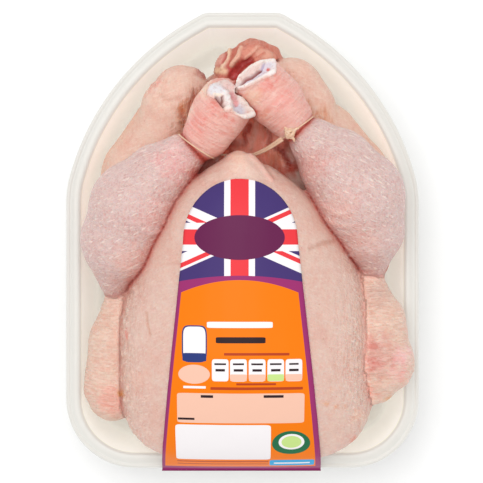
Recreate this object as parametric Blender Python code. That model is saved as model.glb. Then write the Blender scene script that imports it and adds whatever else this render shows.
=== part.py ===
"""Whole raw chicken on its back in a shield-shaped plastic tray, with a hock elastic and a printed label.

The sizes below are in millimetres. +Y runs from the neck end to the tail, -X is the bird's own left, as
it lies on its back, and +Z is up from the surface that the tray stands on. The meshes are in metres.

The bird is one solid. Its skin is the zero surface of a field, the distance to rounded limbs, eggs and
a lofted breast that are joined softly inside a body part and crisply where two parts only press together.
"""

import math

import bmesh
import bpy
import numpy as np
from mathutils import Vector
from mathutils.bvhtree import BVHTree

MM = 0.001

# The tray's middle lies this far from the middle of the whole, because the label passes the rim
TRAY_MIDDLE_Y = 1.4

# Tray: outer outline, as half of a polygon whose corners are rounded
TRAY_HALF_WIDTH = 102.3
TRAY_HALF_LENGTH = 132.0
TRAY_TOP_HALF_WIDTH = 22.0
TRAY_SHOULDER = (83.0, 97.0)
TRAY_SHOULDER_START = 30.0
TRAY_CORNER_RADII = (40.0, 60.0, 148.0, 10.0)
TRAY_ARC_STEPS = 7
RIM_HEIGHT = 50.0
RIM_WIDTH = 8.4
RIM_LIP = 2.6
RIM_EDGE = 0.8
RIM_CORNER = (1.2, 0.4, 1.6)
RIM_UNDERSIDE = (0.3, 1.5)
WALL_DRAFT = 8.5
FLOOR_FILLET = 10.0
PLASTIC = 1.0

# Breast, from the tip over the vent to the neck end
BREAST_MIDDLE = (2.5, -62.0)
BREAST_HALF_WIDTH = 74.0
BREAST_TIP_RUN = 111.0
BREAST_NECK_RUN = 64.6
BREAST_LEVEL = 52.0
BREAST_TIP_RISE = 28.0
BREAST_NECK_RISE = 18.0
BREAST_HEIGHT = 58.0
BREAST_DEPTH = 50.0
BREAST_TIP_SHIFT = -4.0
BREAST_RISE_START = 0.2
BREAST_TIP_POWERS = (0.7, 0.68, 0.8)
BREAST_NECK_ROUND = 3.6
BREAST_NECK_FALL = (1.8, 0.72)
BREAST_NECK_UNDERCUT = (2.5, 0.6)
KEEL_TIP = ((-1, 44, 82, 7.5), (-0.6, 36, 88, 9))
BACK = ((0, -8, 33), (62, 100, 33))
RUMP = ((2, 66, 36), (36, 36, 24))

SEAT_LEVEL = PLASTIC + 0.5
SEAT_BLEND = 2.0

# How widely neighbouring forms flow into each other
BODY_BLEND = 14.0
KEEL_BLEND = 6.0
BEAD_BLEND = 3.0
VENT_BLEND = 3.0
TAIL_BLEND = 3.0
FOLD_BLEND = 2.0
THIGH_CREASE = 2.5
CREASE = 2.2
CUT_BLEND = 1.2

# Limbs are chains of beads: x, y, z and radius, from the end by the breast to the free end
LEFT_DRUMSTICK = (
    (-74, -24, 58, 8.5),
    (-70, 0, 70, 22),
    (-62.5, 20, 76, 24),
    (-48, 37, 79, 17.5),
    (-35.5, 47, 79.5, 12.2),
    (-25, 52.5, 80.5, 8.2),
)
LEFT_STUMP = ((-25, 52.5, 80.5, 8.2), (-20, 60, 82, 13.2), (-14, 70.5, 85, 15.4), (-4, 84, 91, 16))
LEFT_CUT = ((-7.6, 79.4, 92.5), (0.40, 0.69, 0.60))
LEFT_THIGH = ((-73, -16, 52, 11), (-65, 8, 40, 22.5), (-57, 38, 37, 25), (-44, 66, 38, 20))
LEFT_HIP = ((-46, 56, 46, 18), (-41, 77, 50, 17), (-35.5, 85, 50, 16.5))
RIGHT_DRUMSTICK = (
    (75, -16, 60, 7),
    (73, 6, 70, 19),
    (66, 25, 75, 26),
    (54, 42, 78, 21),
    (40.5, 55.5, 79, 13),
    (31.5, 63.5, 79.5, 7.2),
)
RIGHT_STUMP = ((31.5, 63.5, 79.5, 7.2), (26.5, 70, 80.5, 12.4), (19, 79, 82.5, 15), (5, 95, 86, 14.6))
RIGHT_CUT = ((7.4, 92.8, 86.5), (-0.58, 0.70, 0.42))
RIGHT_THIGH = ((74, -12, 54, 11), (67, 12, 42, 22.5), (60.5, 36, 38, 25.5), (47, 60, 38, 21))
RIGHT_HIP = ((44, 58, 46, 18), (35, 77, 49, 18), (28.5, 88, 49, 18))
BONE_HEAD_RADIUS = 6.6
BONE_HEAD_SPREAD = 6.3
BONE_HEAD_SINK = 4.6
LEFT_WING = ((-70, -32, 52, 9), (-76, -58, 51, 12.5), (-77, -84, 51, 14.6), (-75.5, -91, 50, 13.8))
RIGHT_WING = ((72, -24, 58, 9), (79, -47, 62, 14.5), (81, -70, 64, 17), (77, -83, 62, 11))

# Tail stub with its ridges of cut flesh, and the vent with the folds inside it
TAIL = ((-9, 88, 45, 10), (-4, 99, 46, 11), (6, 105.5, 46, 11), (15, 106, 45, 8))
TAIL_RIDGES = (
    ((-12, 92, 54, 3), (-2, 103, 57, 3.2), (8, 112, 54, 3)),
    ((-6, 88, 56, 3), (3, 97, 59, 3.4), (14, 106, 54, 3)),
)
VENT = ((9, 62, 74, 16), (5, 46, 64, 17), (3, 26, 60, 14))
VENT_FOLDS = (
    ((-9, 66, 62, 5), (-2, 58, 55, 6), (0, 46, 50, 7)),
    ((8, 74, 62, 5), (8, 62, 53, 6), (6, 48, 48, 7)),
    ((23, 63, 56, 6), (18, 52, 53, 6), (14, 42, 51, 7)),
)

CHICKEN_TRIANGLES = 8300
SKIN_STEP = 2.6
SKIN_BOX = ((-108.0, -136.0, -2.0), (108.0, 126.0, 118.0))
PINCH_FILL = -0.3
SLOPE_LIMITS = (0.3, 6.0)

# Elastic: a turn round each hock, and the strand that the keel's tip holds down
ELASTIC_RADIUS = 0.85
ELASTIC_GAP = 0.9
LEFT_HOCK = ((-25, 52.6, 80.5), (-0.56, -0.82, -0.10))
RIGHT_HOCK = ((31.2, 63.8, 79.5), (0.58, -0.81, -0.05))
TURN_STEPS = 24
TURN_LIMIT = 1.35
STRAND_ENDS = ((25, 58, 82), (-19, 50, 71))
UNDER_KEEL = ((13, 51.5, 75.5), (3, 48, 70), (-7, 48.5, 68))
KNOT_LIFT = 2.2
KNOT = ((0, 0, 0, 2.1), (-1.7, -0.9, 0.2, 1.5), (0.2, 1.3, 1.9, 1.4), (-1.9, 1.2, 0.8, 1.3))

# Label: an arch over the breast that widens towards the neck end
LABEL_THICKNESS = 0.4
LABEL_GAP = 0.9
LABEL_ARCH_START = -1.0
LABEL_ARCH_LENGTH = 34.7
LABEL_ARCH_HALF_WIDTH = 31.5
LABEL_SPREAD = 0.11
LABEL_END = -133.6
LABEL_MIDDLE_X = (-1.3, -0.6)
LABEL_FLAT_START = -130.2
LABEL_ARCH_ROWS = 7
LABEL_ARCH_TURN = 87.0
LABEL_ROWS = 22
LABEL_COLUMNS = 12
FILM_STEP = 1.6
FILM_HALF_WIDTH = 50.0
FILM_LINES = 41
FILM_TOP = 40.0
ABOVE_ALL = 200.0

# Linear colour and roughness of each piece
LOOKS = {
    "chicken": ("raw chicken skin", (0.76, 0.53, 0.44), 0.42),
    "elastic": ("cream rubber elastic", (0.80, 0.66, 0.50), 0.55),
    "label": ("printed label", (0.95, 0.32, 0.03), 0.4),
    "tray": ("milky tray plastic", (0.82, 0.80, 0.76), 0.25),
}


def soft_union(first, second, blend):
    """The nearer of two distances, rounded over a blend in millimetres where they meet."""
    share = np.clip(0.5 + 0.5 * (second - first) / blend, 0.0, 1.0)
    return second + (first - second) * share - blend * share * (1.0 - share)


def soft_cut(solid, cutter, blend):
    """What is left of the solid outside the cutter, with a rounded edge."""
    return -soft_union(-solid, cutter, blend)


def limb(points, beads):
    """Distance to the hull of each bead and the next, joined along the chain."""
    nearest = None
    for bead, following in zip(beads, beads[1:]):
        start, run = np.array(bead[:3], float), np.subtract(following[:3], bead[:3]).astype(float)
        length = np.linalg.norm(run)
        growth = following[3] - bead[3]
        taper = growth / length
        along = (points - start) @ run / length
        aside = np.sqrt(np.maximum(((points - start) ** 2).sum(axis=1) - along**2, 0.0))
        share = np.clip((along + aside * taper / math.sqrt(1.0 - taper**2)) / length, 0.0, 1.0)
        distance = np.linalg.norm(points - start - share[:, None] * run, axis=1) - bead[3] - share * growth
        nearest = distance if nearest is None else soft_union(nearest, distance, BEAD_BLEND)
    return nearest


def egg(points, centre, radii):
    """Near enough the distance to an ellipsoid, exact at its skin."""
    scaled = (points - np.array(centre, float)) / np.array(radii, float)
    reach = np.linalg.norm(scaled, axis=1)
    slope = np.linalg.norm(scaled / np.array(radii, float), axis=1)
    return reach * (reach - 1.0) / np.maximum(slope, 1e-6)


def plane(points, point, normal):
    """Signed distance in front of a plane."""
    normal = np.array(normal, float)
    return (points - np.array(point, float)) @ (normal / np.linalg.norm(normal))


def breast_sections(y):
    """Centre, half width, widest level, and the heights above and below it of the breast's section at y."""
    tip = np.clip((y - BREAST_MIDDLE[1]) / BREAST_TIP_RUN, 0.0, 0.999)
    neck = np.clip((BREAST_MIDDLE[1] - y) / BREAST_NECK_RUN, 0.0, 0.999)
    lift = np.clip((tip - BREAST_RISE_START) / (1.0 - BREAST_RISE_START), 0.0, 1.0)
    lift = lift * lift * (3.0 - 2.0 * lift)
    centre = BREAST_MIDDLE[0] + BREAST_TIP_SHIFT * tip**2
    narrowing, lowering, shallowing = [(1.0 - tip**2) ** power for power in BREAST_TIP_POWERS]
    half_width = BREAST_HALF_WIDTH * narrowing * (1.0 - neck**BREAST_NECK_ROUND) ** (1.0 / BREAST_NECK_ROUND)
    level = BREAST_LEVEL + BREAST_TIP_RISE * lift + BREAST_NECK_RISE * neck**2
    height = BREAST_HEIGHT * lowering * (1.0 - neck ** BREAST_NECK_FALL[0]) ** BREAST_NECK_FALL[1]
    depth = BREAST_DEPTH * shallowing * (1.0 - neck ** BREAST_NECK_UNDERCUT[0]) ** BREAST_NECK_UNDERCUT[1]
    return centre, half_width, level, height, depth


def breast_measure(points):
    """Negative inside the breast and positive outside, but not yet in true millimetres."""
    y = points[:, 1]
    centre, half_width, level, height, depth = breast_sections(y)
    rise = points[:, 2] - level
    reach = np.where(rise > 0.0, height, depth)
    away = np.hypot((points[:, 0] - centre) / half_width, rise / reach)
    beyond = np.maximum(y - BREAST_MIDDLE[1] - BREAST_TIP_RUN, 0.0)
    beyond = np.maximum(beyond, BREAST_MIDDLE[1] - BREAST_NECK_RUN - y)
    return (away - 1.0) * np.minimum(half_width, reach) + beyond


def slope_of(measure, points, reach=0.4):
    """The gradient of a measure, by central differences."""
    slope = np.empty_like(points)
    for axis in range(3):
        nudge = np.zeros(3)
        nudge[axis] = reach
        slope[:, axis] = (measure(points + nudge) - measure(points - nudge)) / (2.0 * reach)
    return slope


def breast(points):
    """Distance to the lofted breast."""
    slope = np.linalg.norm(slope_of(breast_measure, points), axis=1)
    return breast_measure(points) / np.clip(slope, *SLOPE_LIMITS)


def hock(points, stump, cut):
    """The leg's end, cut through at the joint, with the two heads of the bone proud of the cut."""
    place, normal = np.array(cut[0], float), np.array(cut[1], float)
    normal /= np.linalg.norm(normal)
    across = np.cross(normal, (0, 0, 1))
    across /= np.linalg.norm(across)
    end = soft_cut(limb(points, stump), -plane(points, place, normal), CUT_BLEND)
    for side in (-1, 1):
        head = place + across * side * BONE_HEAD_SPREAD - normal * BONE_HEAD_SINK
        end = soft_union(end, np.linalg.norm(points - head, axis=1) - BONE_HEAD_RADIUS, CUT_BLEND)
    return end


def leg(points, thigh, hip, drumstick, stump, cut):
    """One leg: the thigh under the drumstick, and the hock that the elastic pinches off."""
    upper = soft_union(limb(points, drumstick), hock(points, stump, cut), CUT_BLEND)
    lower = soft_union(limb(points, thigh), limb(points, hip), BEAD_BLEND)
    return soft_union(lower, upper, THIGH_CREASE)


def chicken(points):
    """Distance to the whole bird's skin."""
    body = soft_union(breast(points), egg(points, *BACK), BODY_BLEND)
    body = soft_union(body, egg(points, *RUMP), BODY_BLEND)
    body = soft_union(body, limb(points, KEEL_TIP), KEEL_BLEND)
    body = soft_cut(body, limb(points, VENT), VENT_BLEND)
    for fold in VENT_FOLDS:
        body = soft_union(body, limb(points, fold), FOLD_BLEND)
    left = leg(points, LEFT_THIGH, LEFT_HIP, LEFT_DRUMSTICK, LEFT_STUMP, LEFT_CUT)
    right = leg(points, RIGHT_THIGH, RIGHT_HIP, RIGHT_DRUMSTICK, RIGHT_STUMP, RIGHT_CUT)
    whole = soft_union(soft_union(body, left, CREASE), right, CREASE)
    for wing in (LEFT_WING, RIGHT_WING):
        whole = soft_union(whole, limb(points, wing), CREASE)
    tail = limb(points, TAIL)
    for ridge in TAIL_RIDGES:
        tail = soft_union(tail, limb(points, ridge), FOLD_BLEND)
    whole = soft_union(whole, tail, TAIL_BLEND)
    return soft_cut(whole, points[:, 2] - SEAT_LEVEL, SEAT_BLEND)


def unpinched(values, filled):
    """The samples with every pinch filled, where the surface would otherwise meet itself at an edge or point.

    A pinch is a square of samples that are inside and outside in turn, or a cube with only two opposite
    corners inside, or only two outside.
    """
    values = values.copy()
    while True:
        inside = values < 0.0
        marks = np.zeros_like(inside)
        for axis in range(3):
            low, high = slice(None, -1), slice(1, None)
            corners = []
            for first, second in ((low, low), (high, low), (high, high), (low, high)):
                place = [first, second]
                place.insert(axis, slice(None))
                corners.append(tuple(place))
            a, b, c, d = (inside[corner] for corner in corners)
            pinch = (a == c) & (b == d) & (a != b)
            for corner in corners:
                marks[corner] |= pinch
        spots = [
            tuple(slice(1, None) if bit else slice(None, -1) for bit in (x, y, z))
            for x in (0, 1) for y in (0, 1) for z in (0, 1)
        ]
        total = sum(inside[spot].astype(int) for spot in spots)
        for first, last in ((0, 7), (1, 6), (2, 5), (3, 4)):
            near, far = inside[spots[first]], inside[spots[last]]
            pinch = ((total == 2) & near & far) | ((total == 6) & ~near & ~far)
            for spot in spots:
                marks[spot] |= pinch
        marks &= ~inside
        if not marks.any():
            return values
        values[marks] = filled


def zero_surface(field, low, high, step):
    """Points and four-sided faces of the surface where the field is zero, from a grid of samples.

    Each grid cell that the surface crosses gets one point, the mean of where it crosses the cell's edges.
    """
    axes = [np.arange(a, b + step, step) for a, b in zip(low, high)]
    shape = tuple(len(axis) for axis in axes)
    lattice = np.stack(np.meshgrid(*axes, indexing="ij"), axis=-1).reshape(-1, 3)
    values = unpinched(field(lattice).reshape(shape), PINCH_FILL * step)
    inside = values < 0.0
    cells = tuple(n - 1 for n in shape)
    total, count = np.zeros(cells + (3,)), np.zeros(cells)
    crossings = []
    for axis in range(3):
        lower = tuple(slice(None, -1) if a == axis else slice(None) for a in range(3))
        upper = tuple(slice(1, None) if a == axis else slice(None) for a in range(3))
        crossed = inside[lower] != inside[upper]
        place = np.stack(np.indices(crossed.shape), axis=-1).astype(float)
        gap = np.where(crossed, values[lower] - values[upper], 1.0)
        place[..., axis] += np.where(crossed, values[lower] / gap, 0.0)
        sides = [a for a in range(3) if a != axis]
        for corner in ((0, 0), (0, 1), (1, 0), (1, 1)):
            edge = [slice(None)] * 3
            for side, late in zip(sides, corner):
                edge[side] = slice(1, None) if late else slice(None, -1)
            hit = crossed[tuple(edge)]
            total += np.where(hit[..., None], place[tuple(edge)], 0.0)
            count += hit
        crossings.append(np.argwhere(crossed))
    used = count > 0
    number = np.full(cells, -1)
    number[used] = np.arange(used.sum())
    points = np.array(low) + step * total[used] / count[used][:, None]
    faces = []
    for axis, edges in enumerate(crossings):
        after, last = (axis + 1) % 3, (axis + 2) % 3
        corners = []
        for shift_after, shift_last in ((1, 1), (0, 1), (0, 0), (1, 0)):
            cell = edges.copy()
            cell[:, after] -= shift_after
            cell[:, last] -= shift_last
            corners.append(number[tuple(cell.T)])
        quads = np.stack(corners, axis=1)
        outward = inside[tuple(edges.T)]
        faces.append(np.where(outward[:, None], quads, quads[:, ::-1]))
    return points, np.concatenate(faces)


def material(name, colour, roughness):
    """A plain Principled material in linear colour."""
    made = bpy.data.materials.new(name)
    made.use_nodes = True
    surface = made.node_tree.nodes["Principled BSDF"]
    surface.inputs["Base Color"].default_value = (*colour, 1.0)
    surface.inputs["Roughness"].default_value = roughness
    surface.inputs["Metallic"].default_value = 0.0
    made.diffuse_color = (*colour, 1.0)
    return made


def mesh_object(name, points, faces, look):
    """An object from points in millimetres about the tray's middle, with its own material."""
    mesh = bpy.data.meshes.new(name)
    placed = (np.asarray(points, float) + (0.0, TRAY_MIDDLE_Y, 0.0)) * MM
    mesh.from_pydata(placed.tolist(), [], [tuple(map(int, face)) for face in faces])
    mesh.update()
    mesh.materials.append(look)
    made = bpy.data.objects.new(name, mesh)
    bpy.context.scene.collection.objects.link(made)
    return made


def applied(subject):
    """Replaces the object's mesh with the one that its modifiers give."""
    graph = bpy.context.evaluated_depsgraph_get()
    result = bpy.data.meshes.new_from_object(subject.evaluated_get(graph))
    subject.modifiers.clear()
    subject.data = result
    return subject


def make_chicken():
    """The bird, from the field, thinned to few triangles."""
    points, faces = zero_surface(chicken, *SKIN_BOX, SKIN_STEP)
    bird = mesh_object("chicken", points, faces, material(*LOOKS["chicken"]))
    thin = bird.modifiers.new("thin", "DECIMATE")
    thin.ratio = CHICKEN_TRIANGLES / (2.0 * len(faces))
    applied(bird)
    bird.data.shade_smooth()
    return bird


def rounded_corner(before, corner, after, radius, steps):
    """Points of the arc that rounds a corner, from one side to the other."""
    corner = Vector(corner)
    towards, away = (Vector(before) - corner).normalized(), (Vector(after) - corner).normalized()
    half = towards.angle(away) / 2.0
    run = radius / math.tan(half)
    middle = corner + (towards + away).normalized() * (radius / math.sin(half))
    first, last = corner + towards * run - middle, corner + away * run - middle
    turn = first.angle_signed(last)
    arc = []
    for step in range(steps + 1):
        angle = turn * step / steps
        spoke = Vector((
            first.x * math.cos(angle) + first.y * math.sin(angle),
            first.y * math.cos(angle) - first.x * math.sin(angle),
        ))
        arc.append(tuple(middle + spoke))
    return arc


def tray_outline(inset):
    """The tray's outline moved inwards, counter-clockwise, always with the same number of points."""
    corners = (
        (TRAY_HALF_WIDTH, -TRAY_HALF_LENGTH),
        (TRAY_HALF_WIDTH, TRAY_SHOULDER_START),
        TRAY_SHOULDER,
        (TRAY_TOP_HALF_WIDTH, TRAY_HALF_LENGTH),
    )
    ring = [Vector(corner) for corner in corners]
    ring += [Vector((-corner[0], corner[1])) for corner in reversed(corners)]
    radii = TRAY_CORNER_RADII + tuple(reversed(TRAY_CORNER_RADII))
    moved = []
    for before, corner, after in zip(ring[-1:] + ring[:-1], ring, ring[1:] + ring[:1]):
        sides = [(corner - before).normalized(), (after - corner).normalized()]
        normals = [Vector((-side.y, side.x)) for side in sides]
        spread = 1.0 + normals[0].dot(normals[1])
        moved.append(corner + (normals[0] + normals[1]) * inset / spread)
    points = []
    for place, radius in enumerate(radii):
        before, after = moved[place - 1], moved[(place + 1) % len(moved)]
        points += rounded_corner(before, moved[place], after, max(radius - inset, 3.0), TRAY_ARC_STEPS)
    return points


def tray_profile():
    """Inset and height round the plastic's section, from the underside's middle to the floor's middle."""
    fillet = [math.radians(angle) for angle in (90, 60, 30, 0)]
    wall_foot = RIM_WIDTH + WALL_DRAFT
    outside = [
        (wall_foot - PLASTIC + FLOOR_FILLET * (1 - math.cos(a)), FLOOR_FILLET * (1 - math.sin(a)))
        for a in fillet
    ]
    under_rim = RIM_HEIGHT - PLASTIC
    back, past, down = RIM_CORNER
    lip_gap, under_down = RIM_UNDERSIDE
    outside += [(RIM_WIDTH - PLASTIC + past, under_rim - under_down), (RIM_WIDTH - PLASTIC - back, under_rim)]
    outside += [(PLASTIC + lip_gap, under_rim), (PLASTIC, RIM_HEIGHT - RIM_LIP)]
    inside = [(0.0, RIM_HEIGHT - RIM_LIP), (0.0, RIM_HEIGHT - RIM_EDGE), (RIM_EDGE, RIM_HEIGHT)]
    inside += [(RIM_WIDTH - back, RIM_HEIGHT), (RIM_WIDTH + past, RIM_HEIGHT - down)]
    radius = FLOOR_FILLET - PLASTIC
    inside += [
        (wall_foot + radius * (1 - math.cos(a)), PLASTIC + radius * (1 - math.sin(a)))
        for a in reversed(fillet)
    ]
    return outside + inside


def make_tray():
    """The thermoformed tray: a thin shell with a flat rim, drafted walls and a filleted floor."""
    profile = tray_profile()
    points, faces = [], []
    for inset, height in profile:
        points += [(x, y, height) for x, y in tray_outline(inset)]
    around = len(points) // len(profile)
    for ring in range(len(profile) - 1):
        for step in range(around):
            following = (step + 1) % around
            first, second = ring * around, (ring + 1) * around
            faces.append((first + step, first + following, second + following, second + step))
    faces.append(tuple(reversed(range(around))))
    faces.append(tuple(range(len(points) - around, len(points))))
    return mesh_object("tray", points, faces, material(*LOOKS["tray"]))


def solid_union(name, pieces, look):
    """One solid from overlapping closed pieces, which are then removed."""
    first = pieces[0]
    group = bpy.data.collections.new(name + " pieces")
    bpy.context.scene.collection.children.link(group)
    for piece in pieces[1:]:
        bpy.context.scene.collection.objects.unlink(piece)
        group.objects.link(piece)
    join = first.modifiers.new("join", "BOOLEAN")
    join.operation = "UNION"
    join.operand_type = "COLLECTION"
    join.collection = group
    join.solver = "EXACT"
    applied(first)
    for piece in pieces[1:]:
        bpy.data.objects.remove(piece)
    bpy.data.collections.remove(group)
    first.name = name
    first.data.materials.clear()
    first.data.materials.append(look)
    first.data.shade_smooth()
    return first


def tube(name, route, closed):
    """A round strand along a route in millimetres, as a closed mesh."""
    curve = bpy.data.curves.new(name, "CURVE")
    curve.dimensions = "3D"
    curve.bevel_depth = ELASTIC_RADIUS * MM
    curve.bevel_resolution = 1
    curve.use_fill_caps = True
    spline = curve.splines.new("POLY")
    spline.points.add(len(route) - 1)
    for point, place in zip(spline.points, route):
        point.co = (*((Vector(place) + Vector((0, TRAY_MIDDLE_Y, 0))) * MM), 1.0)
    spline.use_cyclic_u = closed
    strand = bpy.data.objects.new(name, curve)
    bpy.context.scene.collection.objects.link(strand)
    graph = bpy.context.evaluated_depsgraph_get()
    solid = bpy.data.objects.new(name, bpy.data.meshes.new_from_object(strand.evaluated_get(graph)))
    bpy.data.objects.remove(strand)
    bpy.context.scene.collection.objects.link(solid)
    return solid


def turn_round(skin, hock):
    """A ring that lies on the skin round a hock, found by looking out from the leg's own axis."""
    centre, axis = Vector(hock[0]), Vector(hock[1]).normalized()
    side = axis.cross(Vector((0, 0, 1))).normalized()
    up = side.cross(axis)
    angles = [math.tau * step / TURN_STEPS for step in range(TURN_STEPS)]
    spokes = [side * math.cos(angle) + up * math.sin(angle) for angle in angles]
    reaches = [skin.ray_cast(centre, spoke)[3] for spoke in spokes]
    longest = TURN_LIMIT * sorted(reaches)[TURN_STEPS // 2]
    clear = ELASTIC_GAP + ELASTIC_RADIUS
    return [centre + spoke * (min(reach, longest) + clear) for spoke, reach in zip(spokes, reaches)]


def make_elastic(skin):
    """The hock elastic: two turns, the strand between them and the knot."""
    look = material(*LOOKS["elastic"])
    rings = [turn_round(skin, hock) for hock in (RIGHT_HOCK, LEFT_HOCK)]
    ends = [
        min(ring, key=lambda place: (place - Vector(end)).length)
        for ring, end in zip(rings, STRAND_ENDS)
    ]
    pieces = [tube("turn", ring, True) for ring in rings]
    pieces.append(tube("strand", [ends[0], *UNDER_KEEL, ends[1]], False))
    lift = (ends[0] - Vector(RIGHT_HOCK[0])).normalized() * KNOT_LIFT
    for bead in KNOT:
        ball = bmesh.new()
        bmesh.ops.create_icosphere(ball, subdivisions=2, radius=bead[3])
        points = [vertex.co + Vector(bead[:3]) + ends[0] + lift for vertex in ball.verts]
        faces = [[vertex.index for vertex in face.verts] for face in ball.faces]
        pieces.append(mesh_object("bead", points, faces, look))
        ball.free()
    return solid_union("elastic", pieces, look)


def upper_hull(places, heights):
    """The heights of a film pulled tight over the given profile."""
    hull = []
    for place, height in zip(places, heights):
        while len(hull) > 1:
            (x1, z1), (x2, z2) = hull[-2:]
            if (z2 - z1) * (place - x1) > (height - z1) * (x2 - x1):
                break
            hull.pop()
        hull.append((place, height))
    return np.interp(places, [x for x, _ in hull], [z for _, z in hull])


def film_height(skin, x, places):
    """Heights over one line along the bird where a tight film would lie, down to the tray's rim."""
    heights = []
    for y in places:
        hit = skin.ray_cast(Vector((x, y, ABOVE_ALL)), Vector((0, 0, -1)))[0]
        heights.append(max(hit.z, RIM_HEIGHT) if hit and y > LABEL_FLAT_START else RIM_HEIGHT)
    film = upper_hull(places, heights)
    return np.where(places <= LABEL_FLAT_START, RIM_HEIGHT, film)


def label_rows():
    """The y and half width of each row of the label, from the end over the rim to the arch's top."""
    rows = []
    for step in range(LABEL_ROWS):
        y = LABEL_END + (LABEL_ARCH_START - LABEL_END) * step / LABEL_ROWS
        rows.append((y, LABEL_ARCH_HALF_WIDTH + LABEL_SPREAD * (LABEL_ARCH_START - y)))
    for step in range(LABEL_ARCH_ROWS + 1):
        angle = math.radians(LABEL_ARCH_TURN) * step / LABEL_ARCH_ROWS
        rows.append((
            LABEL_ARCH_START + LABEL_ARCH_LENGTH * math.sin(angle),
            LABEL_ARCH_HALF_WIDTH * math.cos(angle),
        ))
    return rows


def make_label(skin):
    """The printed sheet, bent over the breast and down to the rim."""
    rows = label_rows()
    places = np.arange(LABEL_END, FILM_TOP, FILM_STEP)
    lines = np.linspace(-FILM_HALF_WIDTH, FILM_HALF_WIDTH, FILM_LINES)
    film = np.array([film_height(skin, x, places) for x in lines])
    under = []
    for y, half_width in rows:
        share = (y - LABEL_END) / (LABEL_ARCH_START + LABEL_ARCH_LENGTH - LABEL_END)
        middle = LABEL_MIDDLE_X[1] + (LABEL_MIDDLE_X[0] - LABEL_MIDDLE_X[1]) * share
        across = middle + half_width * np.linspace(-1.0, 1.0, LABEL_COLUMNS + 1)
        along = [np.interp(y, places, line) for line in film]
        under.append([(x, y, np.interp(x, lines, along)) for x in across])
    under = np.array(under)
    normal = np.cross(np.gradient(under, axis=1), np.gradient(under, axis=0))
    normal /= np.linalg.norm(normal, axis=2)[..., None]
    lower = (under + normal * LABEL_GAP).reshape(-1, 3)
    upper = lower + normal.reshape(-1, 3) * LABEL_THICKNESS
    wide, count = LABEL_COLUMNS + 1, len(lower)
    faces = []
    for row in range(len(rows) - 1):
        for column in range(LABEL_COLUMNS):
            a = row * wide + column
            b, c, d = a + 1, a + wide + 1, a + wide
            faces += [(a, c, b), (a, d, c)]
            faces += [(count + a, count + b, count + c), (count + a, count + c, count + d)]
    border = list(range(wide)) + [row * wide + LABEL_COLUMNS for row in range(1, len(rows))]
    border += [(len(rows) - 1) * wide + column for column in reversed(range(LABEL_COLUMNS))]
    border += [row * wide for row in reversed(range(1, len(rows) - 1))]
    for here, there in zip(border, border[1:] + border[:1]):
        faces.append((here, there, count + there, count + here))
    return mesh_object("label", np.concatenate([lower, upper]), faces, material(*LOOKS["label"]))


def build_pack():
    for old in list(bpy.data.objects):
        bpy.data.objects.remove(old)
    bird = make_chicken()
    corners = [vertex.co / MM - Vector((0, TRAY_MIDDLE_Y, 0)) for vertex in bird.data.vertices]
    skin = BVHTree.FromPolygons(corners, [tuple(face.vertices) for face in bird.data.polygons])
    make_elastic(skin)
    make_label(skin)
    make_tray()


if __name__ == "__main__":
    build_pack()
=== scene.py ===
"""Looks of a whole raw chicken in its tray, with the hock elastic and the printed label.

Shapes are worked out in millimetres about the tray's middle, with the neck end at -Y and the bird's own
left at -X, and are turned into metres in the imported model's frame as each piece is made.
"""

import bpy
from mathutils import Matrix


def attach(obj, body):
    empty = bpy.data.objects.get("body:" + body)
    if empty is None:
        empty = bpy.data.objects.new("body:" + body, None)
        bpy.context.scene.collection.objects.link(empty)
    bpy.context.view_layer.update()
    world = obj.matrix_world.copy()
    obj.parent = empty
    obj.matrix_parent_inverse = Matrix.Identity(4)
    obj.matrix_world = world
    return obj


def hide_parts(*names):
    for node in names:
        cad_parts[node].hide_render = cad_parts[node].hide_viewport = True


bl_info = {
    "name": "Raw chicken in its tray",
    "version": (1, 0, 0),
    "blender": (4, 5, 0),
    "location": "View3D > Sidebar > Chicken",
    "description": "Skin, cut joints, elastic, label and tray of a raw chicken, and the stage round them",
    "category": "Object",
}

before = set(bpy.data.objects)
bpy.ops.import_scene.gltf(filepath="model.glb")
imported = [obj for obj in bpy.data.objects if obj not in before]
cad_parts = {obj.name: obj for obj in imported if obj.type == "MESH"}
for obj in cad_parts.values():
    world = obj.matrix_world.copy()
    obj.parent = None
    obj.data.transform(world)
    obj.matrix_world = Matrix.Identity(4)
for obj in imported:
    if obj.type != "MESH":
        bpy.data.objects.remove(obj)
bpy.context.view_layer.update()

import math

import bpy
import numpy as np
from mathutils import Vector, noise
from mathutils.bvhtree import BVHTree

MM = 0.001

# The tray's middle lies this far from the middle of the whole, because the label passes the rim
TRAY_MIDDLE_Y = 1.4

# Tray: outer outline, as half of a polygon whose corners are rounded
TRAY_HALF_WIDTH = 102.3
TRAY_HALF_LENGTH = 132.0
TRAY_TOP_HALF_WIDTH = 22.0
TRAY_SHOULDER = (83.0, 97.0)
TRAY_SHOULDER_START = 30.0
TRAY_CORNER_RADII = (40.0, 60.0, 148.0, 10.0)
TRAY_ARC_STEPS = 24
RIM_HEIGHT = 50.0
RIM_WIDTH = 8.4
WALL_DRAFT = 8.5
FLOOR_FILLET = 10.0
PLASTIC = 1.0

# Section of the rim, from the wall's outside round the lip to its inside: inset, and depth below the top
RIM_SECTION = (
    (7.8, 2.5), (6.2, 1.0), (1.3, 1.0), (1.0, 2.6), (0.0, 2.6), (0.0, 0.9), (0.25, 0.3), (0.8, 0.0),
    (1.9, 0.0), (2.3, 0.35), (2.9, 0.35), (3.3, 0.0), (7.0, 0.0), (7.9, 0.35), (8.4, 1.4),
)
FILLET_ANGLES = range(90, -1, -10)
SMALLEST_CORNER = 3.0

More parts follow.
